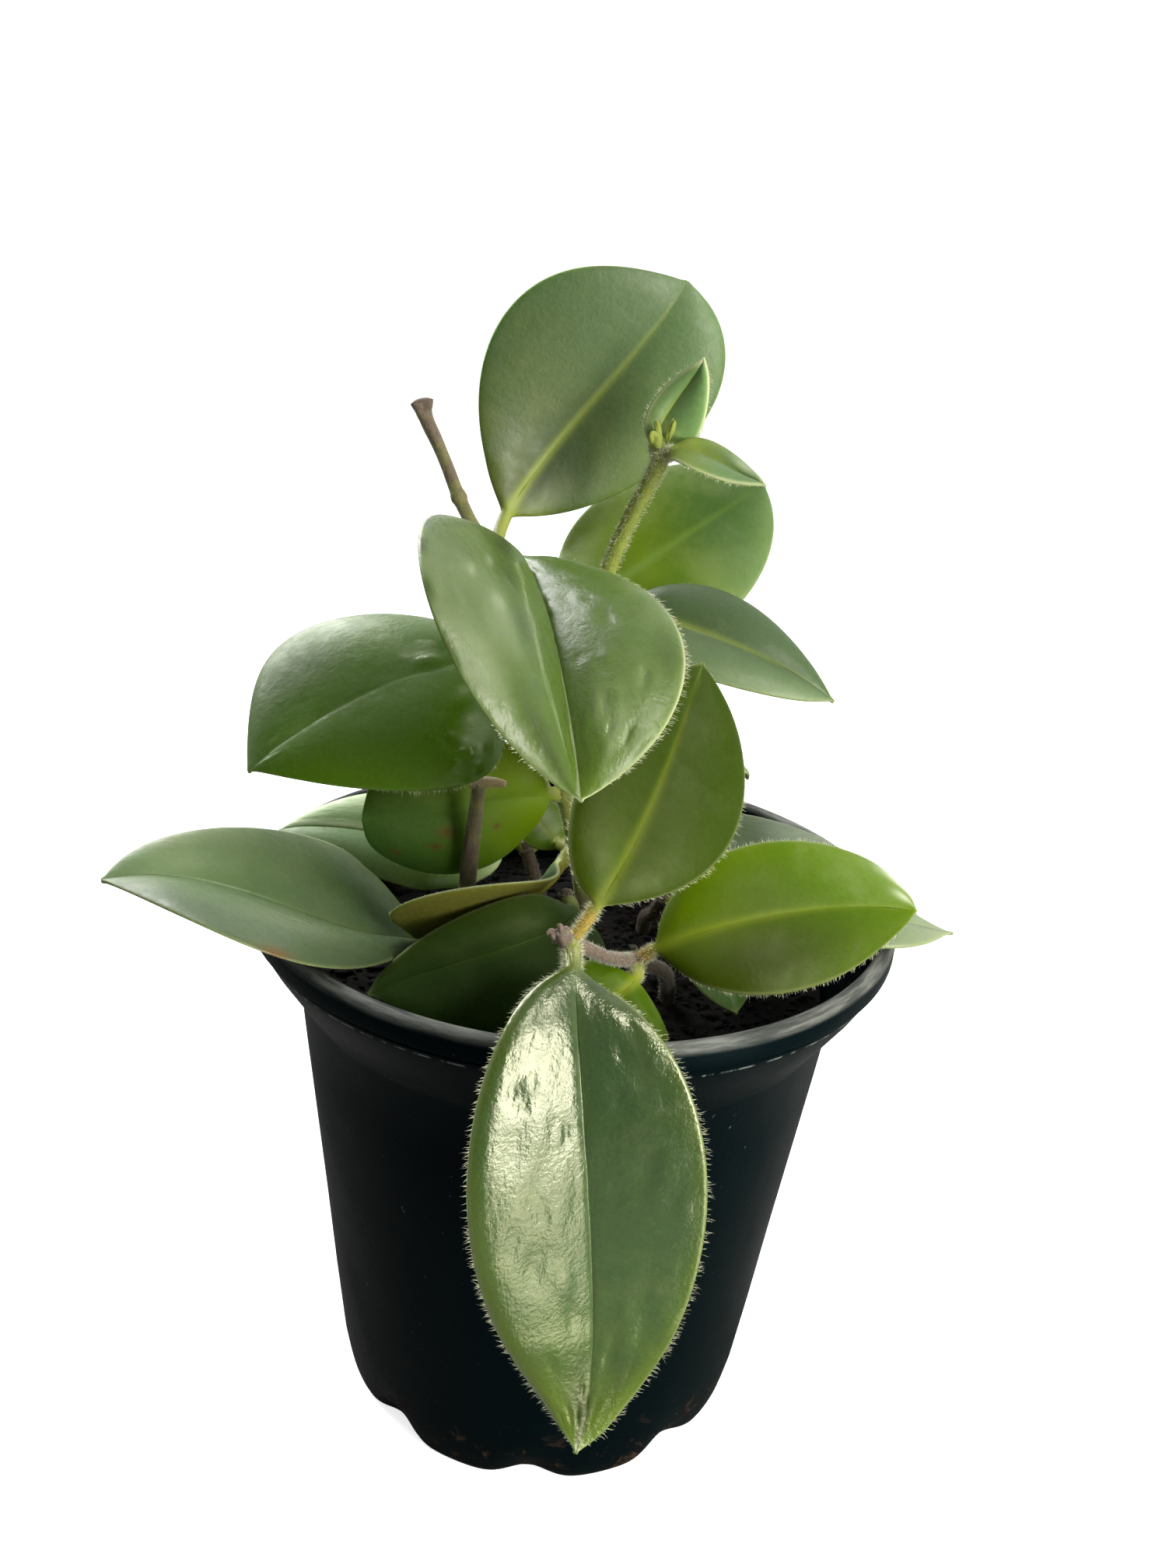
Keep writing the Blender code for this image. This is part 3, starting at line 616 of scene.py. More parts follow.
cane_main = make_piece("cane_main", [
    main_part, shoot_part, stalk_part, *tip_buds,
    down(main_skin, 1500, 0.35, 0.02, 21), down(shoot_skin, 2600, 0.7, 0.028, 22, (1.5, 5.6)),
    down(stalk_skin, 900, 0.16, 0.014, 23),
], [stem_skin, plant_hair])
stand_for(cane_main, "stem_main")

SIDE_ROUTES = {
    "front": [(16, -14, SOIL_FOOT), (16, -14, 77.5), (16, -14.2, 81.5), (14.6, -21, 88.5), FRONT_LOW,
              (5.5, -38, 99.5), FRONT_TOP, (-1.4, -47.2, 107.5)],
    "left": [(-10, -2, SOIL_FOOT), (-10, -2, 81.5), (-13, -2.4, 82.5), LEFT_TOP, (-18.5, -3.2, 86.5)],
    "right": [(13, 10, SOIL_FOOT), (13, 10, 81.5), (14.2, 8, 84), RIGHT_TOP, (16, 5.5, 89.5)],
    "back": [(-6, 15, SOIL_FOOT), (-6, 15, 81.5), (-7.4, 16, 86), BACK_TOP, (-9.6, 17.4, 91.5)],
    "centre": [(1, -9, SOIL_FOOT), (1, -9, 81.5), (0.2, -8.7, 87), CENTRE_TOP, (-1.3, -7.8, 94.5)],
}
for number, (side_name, side_route) in enumerate(SIDE_ROUTES.items()):
    count = len(side_route)
    side_radii = [1.3] * 2 + [1.2] * (count - 3) + [0.9]
    if side_name == "front":
        side_radii = [1.3, 1.3, 1.2, 1.1, 1.1, 0.9, 1.0, 0.8]
    joints = (4, 6) if side_name == "front" else (count - 2,)
    side_part, side_skin = tube_part(side_route, side_radii, [0.95] * count, nodes=joints)
    side_parts = [side_part, down(side_skin, 2800 if side_name == "front" else 900, 0.36, 0.014, 30 + number)]
    if side_name == "left":
        old_route = [LEFT_TOP, (-17.3, -4.5, 90), (-17, -6.5, 97), (-15.9, -8, 110.5), (-15.8, -8, 111.3)]
        old_part, old_skin = tube_part(old_route, [0.8, 1.3, 1.4, 1.05, 1.1], [0.8, 0.75, 0.7, 0.65, 0.6])
        lip_route = [(-17.3, -8.1, 111.2), (-15.8, -8.2, 111.8), (-13.6, -8.4, 112.2), (-11.8, -8.5, 112.1)]
        lip_part, _ = tube_part(lip_route, [0.5, 1.0, 0.8, 0.55], [0.8] * 4, number=2)
        side_parts += [old_part, lip_part, down(old_skin, 1100, 0.2, 0.014, 40)]
    if side_name == "front":
        side_parts += [
            lump_part((-1.0, -46.9, 106.7), (-0.5, -0.3, 0.8), (1.15, 1.1, 1.3), 1.3, 51, 0.4),
            lump_part((-2.0, -47.5, 107.4), (-1, -0.2, 0.6), (0.5, 0.6, 0.8), 1.2, 52, 0.4),
            lump_part((-1.2, -47.3, 107.9), (-0.3, 0, 1), (0.5, 0.5, 0.8), 1.3, 53, 0.4),
        ]
    cane = make_piece("cane_" + side_name, side_parts, [stem_skin, plant_hair, dry_skin])
    stand_for(cane, "stem_" + side_name)


# Leaves of the tall stem. Thick, waxy, oval blades on short fleshy stalks, each pair set across the last one. The
# upper face is green with a pale sunken midrib and a rolled edge, the lower face paler with a raised rib.
PETIOLE_ROWS = 12
EDGE_WIDTH = 0.25
OPEN_SHARE = 0.14
FRINGE_THICK = 0.025
STALK_HAIR_THICK = 0.02
STALK_HAIRS = 110


def rib_line(joint, base, middle, tip, rows):
    """The midrib: a cubic through joint, blade base, middle and tip, parted by distance. The share is 0 at the
    blade's base and 1 at its tip. Rows lie closer together towards the tip."""
    points = np.array([joint, base, middle, tip], float)
    lengths = np.linalg.norm(np.diff(points, axis=0), axis=1)
    at = np.concatenate([[0], np.cumsum(lengths)]) / lengths.sum()
    terms = np.linalg.solve(np.vander(at, 4), points)
    blade = np.linspace(0, 1, rows)
    blade = blade + 0.06 * np.sin(blade * math.pi * 0.5) * (1 - blade)
    stalk = np.linspace(0.1 * at[1], at[1], PETIOLE_ROWS, endpoint=False)
    along = np.concatenate([stalk, at[1] + blade * (1 - at[1])])
    line = np.vander(along, 4) @ terms
    slope = np.stack([3 * along ** 2, 2 * along, np.ones_like(along)], -1) @ terms[:3]
    return line, unit(slope), (along - at[1]) / (1 - at[1]), lengths[1:].sum()


def blade_half(share, widest, outline, point):
    """Half width of the blade: share^a (1 - share)^b, scaled to its widest, drawn out to a point at the tip."""
    low, high = outline
    inside = np.clip(share / 0.995, 0, 1)
    peak = low ** low * high ** high / (low + high) ** (low + high)
    drawn = 1 - point * np.exp(-(1 - inside) / 0.045)
    return widest * inside ** low * (1 - inside) ** high / peak * drawn


def nearness(share, sideways, length, widest, place):
    """How far away a place (share, sideways, width in mm) is, as a square: 0 there, 1 at its width."""
    at, across, wide = place
    return ((share - at) * length / (wide * 1.6)) ** 2 + ((sideways - across) * widest / wide) ** 2


def dented(share, sideways, length, widest, dents, marks, seed):
    """Dents and blisters in the blade: round hollows, each with a low rim. Dents is (count, width, depth) of random
    ones; marks places others by (share, sideways, width, depth). A depth below 0 is a blister."""
    draw = np.random.default_rng(seed)
    count, size, depth = dents
    random_ones = [
        (draw.uniform(0.08, 0.92), draw.uniform(-0.88, 0.88), size * draw.uniform(0.5, 1.3),
         depth * draw.uniform(0.4, 1.2) * draw.choice([1, 1, -0.8])) for _ in range(count)
    ]
    total = np.zeros(np.broadcast(share, sideways).shape)
    for *spot, deep in [*random_ones, *marks]:
        away = nearness(share, sideways, length, widest, spot)
        total -= deep * (1 - 0.9 * away) * np.exp(-away)
    return total


def skin_values(
    share, sideways, length, widest, from_rib, from_edge,
    warm=(0.3, 0.0, 0.0, 0.0, 0.0), light=(1.0, 0.0, 0.0, 0.0), bloom=(0.0, 0.0, 0.0, 0.0), vein=0.6, amber=0.0,
    rim=(0.2, 0.2), rib_highlight=(0.0, 0.0), spots=(), patches=(),
):
    """What the mesh tells the leaf's look. Warm says how yellow the blade is at base, tip, first half, second half
    and edge. Light scales the colour, partly the blade's own tone and partly painted light and shade, and the
    painted sheen mixes in a silvery painted reflection: each at the base, more at the tip, more on the first half
    and more on the second. Vein is how pale the rib is, amber how orange the stalk, rim how pale each margin, partly
    its own pale edge and partly painted rim light, and the rib highlight how much painted highlight lies on the fold
    beside the rib on each half. Spots are brown: (share, sideways, width). Patches are (share, sideways, width, more
    light, more painted sheen, more dull): painted light, shade and glints, and duller or glossier places."""
    held = np.clip(share, 0, 1)
    in_first, in_second = np.clip(-sideways, 0, 1), np.clip(sideways, 0, 1)
    yellow = warm[0] * (1 - held) ** 1.5 + warm[1] * held ** 5
    yellow = yellow + warm[2] * in_first + warm[3] * in_second
    yellow = yellow + warm[4] * np.exp(-from_edge / 1.3) + (1 - smoothstep(share, -0.05, 0.06)) * 0.8
    petiole_share = np.broadcast_to(1 - smoothstep(share, -0.06, 0.03), yellow.shape)
    # Light is partly the blade's own tone and partly painted light and shade; the silvery sheen is painted
    # reflection.
    bright, sheen_mix = (part[0] + part[1] * held + part[2] * in_first + part[3] * in_second for part in (light, bloom))
    # A painted highlight on the fold beside the rib, where the blade turns down into the groove.
    beside_rib = np.exp(-((from_rib - 0.9) / 0.55) ** 2)
    sheen_mix = sheen_mix + np.where(sideways < 0, *rib_highlight) * beside_rib * smoothstep(share, 0, OPEN_SHARE)
    dull = spotted = 0 * yellow
    for spot in spots:
        spotted = spotted + np.exp(-nearness(held, sideways, length, widest, spot))
    for *spot, more_light, more_sheen, more_dull in patches:
        there = np.exp(-nearness(held, sideways, length, widest, spot))
        bright, sheen_mix, dull = bright + more_light * there, sheen_mix + more_sheen * there, dull + more_dull * there
    vein_width = 0.4 + 0.7 * (1 - held) ** 1.3
    pale_rib = vein * np.exp(-np.abs(from_rib / vein_width) ** 2.5) * (1 - held ** 2)
    # A pale rim on each margin: partly its own pale edge, partly painted rim light.
    pale_and_lit_rim = np.where(sideways < 0, *rim) * np.exp(-(from_edge / 0.35) ** 2)
    return {
        "yellow": yellow, "rib": pale_rib, "edge": from_edge, "stalk": petiole_share, "amber": petiole_share * amber,
        "light": bright, "bloom": sheen_mix, "dull": dull, "spot": spotted, "rim": pale_and_lit_rim,
        "along": held * length + 0 * yellow,
    }


def leaf(
    name, joint, base, middle, tip, half, face, look, slot="leaf",
    fold=(8, 8), cup=(-12, -12), outline=(0.55, 0.75), point=0.25, thick=1.0, stalk=1.12, rows=84, steps=20,
    pillow=0.5, wave=(0.0, 2.0, 0.0), curl=(0, 0.5, 0.2, 0), roll=(0.0, 0.0), tip_bend=0.0, tip_flat=0.0,
    groove=0.1, dents=(0, 1.5, 0.0), marks=(), hair=None, spans=((0.0, 0.99), (0.0, 0.99)), seed=1, **skin,
):
    """One leaf with its stalk, on a grid of rows along the rib by steps across each half. Its midrib runs from the
    joint through base and middle to the tip, and the blade looks towards face. Share goes from 0 at the blade's base
    to 1 at its tip, and sideways from -1 at the first half's margin to 1 at the second's.

    Half is the widest half width of each half, outline the powers of its curve, and point draws the tip out. Each
    half rises from the rib at its fold and bends by its cup, in degrees, up to the margin. Tip_flat takes both away
    towards the tip, and tip_bend lifts the tip. Pillow is how far a half swells between rib and margin. Wave is
    (height, count, start) of the margin's waves, and curl lifts a stretch of it: (half, middle, spread, height).
    Roll turns each margin down. Groove is how deep the rib is sunk. Dents and marks are explained in dented, and the
    rest in skin_values. Hair is (length, hairs to a millimetre), and spans says on what stretch of each margin it
    grows."""
    line, slope, share, length = rib_line(joint, base, middle, tip, rows)
    side = unit(np.cross(slope, face))
    up = np.cross(side, slope)
    share = share[:, None]
    opened = smoothstep(share, 0, OPEN_SHARE)
    held = np.clip(share, 0, 1)
    petiole = stalk * (1 - held) ** 2
    reach = np.linspace(0, 1, steps + 1)
    reach = 0.45 * reach + 0.55 * (1 - np.cos(reach * math.pi)) / 2
    creased = 1 - tip_flat * smoothstep(share, 0.7, 0.95)
    halves = []
    for widest, rise, bend, powers in zip(half, fold, cup, np.broadcast_to(outline, (2, 2))):
        blade = blade_half(share, widest, powers, point)
        width = np.sqrt(petiole ** 2 + blade ** 2 + EDGE_WIDTH ** 2)
        first = np.radians(rise) * opened * creased
        gain = np.radians(bend) * opened * creased + 1e-6
        last = first + gain * reach
        halves.append((width * (np.sin(last) - np.sin(first)) / gain, width * (np.cos(first) - np.cos(last)) / gain,
                       last, width * reach, width * (1 - reach)))
    across, height, lean, from_rib, from_edge = (
        np.concatenate([sign * left[:, :0:-1], right], 1)
        for sign, left, right in zip((-1, 1, -1, -1, 1), *halves)
    )
    sideways = np.concatenate([-reach[:0:-1], reach])
    blade_only = opened * (1 - smoothstep(held, 0.93, 1))
    relief = pillow * blade_only * np.sin(math.pi * np.abs(sideways)) * np.sin(math.pi * held) ** 0.5
    waves = np.sin(2 * math.pi * (wave[1] * held + wave[2]) + 1.9 * (sideways > 0))
    relief = relief + wave[0] * blade_only * np.abs(sideways) ** 3 * waves
    towards_margin = np.clip(sideways if curl[0] else -sideways, 0, 1) ** 2.5
    relief = relief + curl[3] * (np.exp(-((held - curl[1]) / curl[2]) ** 2) * towards_margin)
    relief = relief - np.where(sideways < 0, *roll) * blade_only * np.clip(1 - from_edge / 2, 0, 1) ** 2
    relief = relief + tip_bend * np.clip((held - 0.7) / 0.3, 0, 1) ** 2
    relief = relief + dented(held, sideways, length, max(half), dents, marks, seed) * blade_only
    normal = up[:, None] * np.cos(lean)[..., None] - side[:, None] * np.sin(lean)[..., None]
    sheet = line[:, None] + side[:, None] * across[..., None] + up[:, None] * height[..., None]
    sheet = sheet + normal * relief[..., None]
    outward = unit(np.gradient(sheet, axis=1))
    true_normal = unit(np.cross(outward, np.gradient(sheet, axis=0)))
    true_normal *= np.sign((true_normal * normal).sum(-1, keepdims=True))
    arch = np.sqrt(np.clip(1 - sideways ** 2, 0, 1))
    thinner = 1 - 0.45 * smoothstep(held, 0.85, 1)
    blade_lift = thick / 2 * np.sqrt(np.clip(1 - sideways ** 8, 0, 1)) * thinner
    lift = np.maximum(petiole * arch, blade_lift * opened + 0.3 * (1 - opened) * arch)
    rib_width = 0.3 + 0.65 * (1 - held) ** 1.5
    ridge = np.exp(-(from_rib / rib_width) ** 2) * (1 - held ** 3)
    above = sheet + true_normal * (lift - groove * ridge * opened * creased)[..., None]
    below = sheet - true_normal * (lift + 0.5 * ridge * opened * (1 - held))[..., None]
    rings = np.concatenate([above, below[:, -2:0:-1]], 1)
    count = rings.shape[1]

    values = skin_values(share, sideways, length, max(half), from_rib, from_edge, **skin)
    values["across"] = across
    values = {key: np.concatenate([value, value[:, -2:0:-1]], 1).ravel() for key, value in values.items()}
    under = np.zeros((len(share), count))
    under[:, 2 * steps + 1:] = 1
    values["under"] = under.ravel()
    parts = [(rings.reshape(-1, 3), capped_tube(len(share), count), 0, values)]
    if hair:
        parts += leaf_hairs(sheet, outward, true_normal, slope, share[:, 0], petiole, hair, spans, seed)
    stand_for(make_piece(name.replace("leaf_", "blade_"), parts, [look, plant_hair]), name)


def read_off(values, run, at):
    """The values, rows of x, y and z given at each step of the run, read off at places between the steps."""
    return np.stack([np.interp(at, run, values[:, axis]) for axis in range(3)], -1)


def leaf_hairs(sheet, outward, normal, slope, share, petiole, hair, spans, seed):
    """Hairs that fringe the margin, stand on its upper edge, and cover the leaf stalk."""
    draw = np.random.default_rng(seed + 500)
    parts = []
    for column, sign, (start, end) in ((0, -1, spans[0]), (-1, 1, spans[1])):
        margin = sheet[:, column]
        run = np.concatenate([[0], np.cumsum(np.linalg.norm(np.diff(margin, axis=0), axis=1))])
        low, high = np.interp((start, end), share, run)
        count = int((high - low) * hair[1])
        at = np.sort(draw.uniform(low, high, count))
        root, out = read_off(margin, run, at), read_off(sign * outward[:, column], run, at)
        over, along = read_off(normal[:, column], run, at), read_off(slope, run, at)
        lift = draw.normal(0.05, 0.3, (count, 1))
        lean = out + over * lift + along * draw.normal(0.15, 0.25, (count, 1))
        ramp = np.clip((at - low) / 2, 0.5, 1) * np.clip((high - at) / 3, 0.4, 1)
        lengths = hair[0] * draw.uniform(0.45, 1.15, count) * ramp
        parts.append(hair_part(root - out * 0.1, lean, lengths, FRINGE_THICK, seed + 600))
    rows = np.flatnonzero(share < 0.0)[1:]
    count = int(STALK_HAIRS * hair[1])
    row = draw.choice(rows, count)
    turn = draw.uniform(0, 2 * math.pi, (count, 1))
    middle = sheet.shape[1] // 2
    out = outward[row, middle] * np.cos(turn) + normal[row, middle] * np.sin(turn)
    root = sheet[row, middle] + out * petiole[row] + slope[row] * draw.uniform(-0.4, 0.4, (count, 1))
    parts.append(hair_part(root, out, hair[0] * draw.uniform(0.4, 0.9, count), STALK_HAIR_THICK, seed + 700))
    return parts


def leaf_look(name, deep, warm, rib, under, gloss, coarse, shine, streaks=0.0, grain=0.1, tint=(1, 1, 1)):
    """Waxy leaf skin. The mesh says how yellow and how dull it is, how much painted light, shade and silvery painted
    sheen it carries, where rib, margin and spots are, and which face is the lower one. Gloss is its roughness,
    coarse its wrinkles, and grain its orange peel. Streaks are fine ripples along the blade, where it carries painted
    sheen."""
    look, shader = new_look(name, Specular_IOR_Level=shine, Subsurface_Weight=0.3, Subsurface_Scale=0.0012,
                            Subsurface_Radius=(0.5, 1.0, 0.18), Specular_Tint=rgb(*tint))
    where = place(look)
    cloud = noise(look, where, 95, 4, 0.6, 0.5)
    fine = noise(look, where, 1500, 3, 0.6)
    wrinkle = noise(look, where, 420, 3, 0.6, 0.3)
    yellow = plus(look, value_of(look, "yellow"), spread(look, cloud, 0.25, 0.75, -0.18, 0.18))
    flesh = colours(look, spread(look, yellow, 0.0, 1.0), deep, warm)
    pale = rgb(*[c * 1.7 for c in deep[:3]])
    flesh = colours(look, times(look, spread(look, fine, 0.35, 0.65), 0.16), flesh, pale)
    # A silvery painted sheen: the reflections and glints of the windows, mixed into the colour.
    sheen_share = plus(look, value_of(look, "bloom"), spread(look, cloud, 0.3, 0.75, -0.1, 0.1))
    flesh = colours(look, sheen_share, flesh, rgb(0.3, 0.35, 0.22))
    # Light scales the colour: partly the blade's own tone, partly painted light and shade as the light falls on it.
    flesh = wire(look, "ShaderNodeVectorMath", {0: flesh, "Scale": value_of(look, "light")}, operation="SCALE")
    flesh = colours(look, value_of(look, "rib"), flesh, rib)
    edge = spread(look, value_of(look, "edge"), 0.0, 0.55, 0.22, 0)
    flesh = colours(look, edge, flesh, rib)
    # The pale rim: partly the margin's own pale edge, partly painted rim light.
    flesh = colours(look, value_of(look, "rim"), flesh, rgb(0.5, 0.55, 0.3))
    spot = times(look, value_of(look, "spot"), spread(look, fine, 0.2, 0.6, 0.5, 1.0))
    flesh = colours(look, spot, flesh, rgb(0.14, 0.075, 0.025))
    below = colours(look, spread(look, fine, 0.3, 0.7), under, rgb(*[c * 0.8 for c in under[:3]]))
    flesh = colours(look, value_of(look, "under"), flesh, below)
    stalk = colours(look, value_of(look, "amber"), rgb(0.25, 0.28, 0.06), rgb(0.36, 0.22, 0.04))
    flesh = colours(look, value_of(look, "stalk"), flesh, stalk)
    feed(look, shader, "Base Color", flesh)
    rough = plus(look, spread(look, wrinkle, 0.3, 0.7, gloss - 0.05, gloss + 0.09),
                 times(look, value_of(look, "under"), 0.2))
    rough = plus(look, rough, times(look, value_of(look, "dull"), 0.4))
    feed(look, shader, "Roughness", rough)
    bumps = plus(look, times(look, wrinkle, coarse), times(look, fine, grain))
    grown = wire(look, "ShaderNodeCombineXYZ", {
        "X": times(look, value_of(look, "along"), 0.16), "Y": value_of(look, "across"),
    })
    rippled = spread(look, value_of(look, "bloom"), 0.05, 0.35, 0.1 * streaks, streaks)
    bumps = plus(look, bumps, times(look, noise(look, grown, 0.9, 3), rippled))
    bumped(look, shader, bumps, 0.0006, 0.6)
    return look


old_green = leaf_look("leaf_old_green", rgb(0.1, 0.175, 0.06), rgb(0.17, 0.22, 0.02), rgb(0.26, 0.32, 0.06),
                      rgb(0.22, 0.27, 0.1), gloss=0.42, coarse=0.22, shine=0.35, streaks=0.4)
satin_green = leaf_look("leaf_satin_green", rgb(0.075, 0.13, 0.02), rgb(0.11, 0.19, 0.002), rgb(0.2, 0.27, 0.07),
                        rgb(0.18, 0.25, 0.09), gloss=0.34, coarse=0.45, shine=0.42, streaks=0.3, grain=0.15)
arched_green = leaf_look("leaf_arched_green", rgb(0.065, 0.13, 0.016), rgb(0.06, 0.13, 0.0), rgb(0.12, 0.19, 0.05),
                         rgb(0.18, 0.25, 0.09), gloss=0.36, coarse=0.3, shine=0.28, streaks=0.6,
                         tint=(0.9, 1.0, 0.8))
glossy_green = leaf_look("leaf_glossy_green", rgb(0.06, 0.135, 0.036), rgb(0.12, 0.2, 0.0), rgb(0.14, 0.21, 0.05),
                         rgb(0.18, 0.25, 0.09), gloss=0.2, coarse=0.11, shine=1.0, streaks=0.1, grain=0.25,
                         tint=(1.0, 1.0, 0.8))
young_green = leaf_look("leaf_young_green", rgb(0.07, 0.14, 0.0), rgb(0.12, 0.19, 0.0), rgb(0.24, 0.29, 0.02),
                        rgb(0.22, 0.28, 0.06), gloss=0.42, coarse=0.15, shine=0.15, tint=(0.9, 1.0, 0.6))
shade_green = leaf_look("leaf_shade_green", rgb(0.06, 0.13, 0.025), rgb(0.13, 0.21, 0.0), rgb(0.12, 0.2, 0.03),
                        rgb(0.22, 0.22, 0.04), gloss=0.42, coarse=0.12, shine=0.15, tint=(0.9, 1.0, 0.5))

# In the leaves below, the light values, the silvery sheen, the highlight beside the rib, the pale rims and the
# patches paint light and shade into the colour: halves, bases and tips lighter or darker as the light falls on them,
# sheen and glints where they face the windows, and shade where they turn away.
leaf("leaf_top_tall", MAIN_TOP, (-15.3, 11.5, 150.2), (-2.7, 17, 168.7), (9.8, 16.4, 186.4), (19.1, 16.1),
     (0.24, -1, 0.06), old_green, fold=(13, 3), cup=(-7, -11), outline=((0.95, 0.81), (0.8, 0.52)), point=0,
     stalk=1.0, pillow=0.4, groove=0.02, warm=(0.7, 0, 0, 0, 0), light=(0.44, 0.3, -0.07, 0.25), vein=0.85,
     rim=(0, 0), patches=[(0.2, 0.15, 6, -0.25, 0, 0)], seed=2)
# Its patches paint shade along the left margin and in a strip on the left lobe, a highlight line beside the rib,
# small glints, and light on the lower right.
leaf("leaf_centre_forward", MAIN_TOP, (-13.2, -2, 145.4), (-5.7, -27.7, 140.9), (0, -48.6, 125.7), (16.6, 24.9),
     (0.07, -1, 1.6), satin_green, fold=(14, 63), cup=(-18, -34), outline=((0.95, 0.67), (1.15, 0.65)), rows=150,
     steps=32, pillow=1.0, groove=0.3, dents=(60, 1.6, 0.16), marks=[
         (0.52, -0.46, 1.7, 0.4), (0.44, -0.5, 0.8, -0.16), (0.43, -0.38, 0.8, 0.16), (0.65, -0.38, 1.4, -0.2),
         (0.64, -0.23, 0.9, 0.2), (0.73, -0.66, 1.5, 0.35), (0.78, -0.34, 1.3, 0.25), (0.85, -0.42, 1.0, 0.3),
         (0.87, -0.62, 1.0, 0.25), (0.56, 0.05, 0.7, 0.15), (0.58, 0.54, 1.3, -0.3), (0.58, 0.84, 1.4, 0.3),
         (0.71, 0.84, 0.9, -0.2), (0.77, 0.58, 1.3, -0.2), (0.8, 0.46, 1.2, 0.2), (0.89, 0.54, 0.9, -0.2),
     ], hair=(1.0, 6), spans=((0.06, 0.97), (0.9, 0.97)), warm=(0.1, 0.5, 0.1, 0.1, 0.2),
     light=(0.95, -0.28, 0.18, -0.05), bloom=(-0.2, 0, 0.4, 0.5), vein=0.3, rim=(0.8, 0.1), rib_highlight=(0, 0.9), patches=[
         *[(0.3 + 0.1 * step, 1.0, 0.8, -0.45, -0.6, 0) for step in range(6)],
         *[(0.4 + 0.024 * step, 0.42 - 0.006 * step, 0.7, 0.12, 0.3, -0.3) for step in range(22)],
         (0.42, 0.52, 2.4, -0.4, -0.5, 0), (0.55, 0.5, 1.8, -0.3, -0.5, 0), (0.68, 0.44, 1.5, -0.25, -0.4, 0),
         (0.3, 0.6, 3, -0.4, -0.4, 0), (0.93, 0.6, 3, -0.3, -0.5, 0), (0.46, 0.44, 0.5, 0.3, 0.8, 0),
         (0.55, 0.62, 0.7, 0.1, 0.5, 0), (0.62, 0.74, 0.6, 0.1, 0.5, 0), (0.67, 0.6, 0.7, 0.1, 0.5, 0),
         (0.86, -0.5, 3, 0.35, 0.5, -0.5), (0.8, -0.3, 2.5, 0.25, 0.4, -0.5), (0.66, -0.85, 3, -0.3, -0.3, 0),
         (0.7, 0.6, 2.5, 0.05, 0.3, 0), (0.82, 0.8, 2.5, 0.1, 0.25, 0),
     ], seed=3)
# Painted glints: small silvery highlights on the blisters of the upper left leaf.
BLISTER_GLINTS = [
    (0.33, -0.7, 2.6), (0.32, 0.2, 1.6), (0.3, -0.55, 0.8), (0.36, -0.7, 0.6), (0.31, -0.78, 0.5), (0.4, -0.6, 0.4),
    (0.26, -0.3, 1.2), (0.35, -0.88, 0.5), (0.33, 0.14, 0.9), (0.29, 0.3, 0.8), (0.38, 0.2, 0.5), (0.43, -0.8, 0.5),
]
leaf("leaf_left_upper", MAIN_MIDDLE, (-12.3, 2.4, 127.6), (-31.6, -12.7, 126.4), (-48.2, -19.1, 114.8), (19.2, 19.7),
     (-0.11, -1, 1.21), arched_green, fold=(-2, -2), cup=(-20, -19), outline=((0.75, 1.09), (0.61, 0.47)), rows=130,
     steps=28, pillow=0.8, groove=0.08, dents=(26, 1.3, 0.1), marks=[
         (0.42, -0.64, 0.9, 0.45), (0.39, -0.68, 0.8, -0.4), (0.3, -0.81, 1.1, 0.5), (0.44, -0.84, 0.9, -0.4),
         (0.37, -0.94, 1.0, 0.4), (0.32, 0.09, 1.6, -0.4), (0.28, -0.41, 1.8, -0.3), (0.35, -0.75, 0.7, -0.4),
     ], hair=(1.0, 5), spans=((0.0, 0.7), (1, 1)), warm=(0.2, 0.1, 0.9, 0, 0), light=(1.1, 0.1, 0, -0.15),
     bloom=(-0.1, 0, 0, 0.4), vein=0.3, rim=(0.1, 0.4), patches=[
         (0.71, 0.59, 5, -0.4, -0.7, 0.3), (0.6, 0.4, 3, -0.15, -0.3, 0), (0.8, 0, 3, 0.25, 0.1, 0),
         (0.3, -0.6, 4, 0.1, 0.2, -0.6), (0.55, -0.6, 6, -0.1, -0.3, 0),
         *[(*spot, 0.12, 0.4, -0.5) for spot in BLISTER_GLINTS],
     ], seed=4)
leaf("leaf_middle_back", MAIN_MIDDLE, (-8, 10, 127.5), (-4, 28, 127), (4, 46, 114), (15, 15), (0.2, 0.3, 0.9),
     old_green, hair=(0.6, 1.5), seed=5)
leaf("leaf_inner_left", MAIN_INNER, (-5.5, 3.7, 106.1), (-18.8, -3.4, 105.8), (-33.8, -8.5, 104.7), (11.6, 12.3),
     (0.02, -1, 0.2), shade_green, slot="young_leaf", fold=(-3, -1), cup=(-17, -15),
     outline=((0.54, 0.56), (0.69, 0.58)), point=-0.5, curl=(1, 0.12, 0.12, 2.0), hair=(0.5, 1.4),
     warm=(1.2, 0, 0, 0.6, 0.1), light=(1.05, 0, 0, -0.75), vein=0.3,
     spots=[(0.59, -0.31, 0.9), (0.65, -0.5, 0.6), (0.32, -0.37, 0.5), (0.84, -0.69, 0.5)], seed=6)
leaf("leaf_inner_back", MAIN_INNER, (1, 8.5, 107), (16, 21, 110), (31, 31, 102), (13, 13), (0, -0.1, 1), old_green,
     seed=7)
leaf("leaf_edge_on", MAIN_LOW, (-2.4, 3, 94.4), (-12.6, -12.8, 91.2), (-24.1, -15.2, 88.1), (12.2, 4),
     (-0.25, 1, 0.72), shade_green, fold=(0, 4), cup=(0, 6), outline=((0.73, 0.2), (0.9, 0.45)), point=0,
     hair=(0.35, 6), light=(0.95, 0, 0, 0), rim=(0.9, 0.3), spots=[(0.88, -0.31, 0.9)], seed=8)
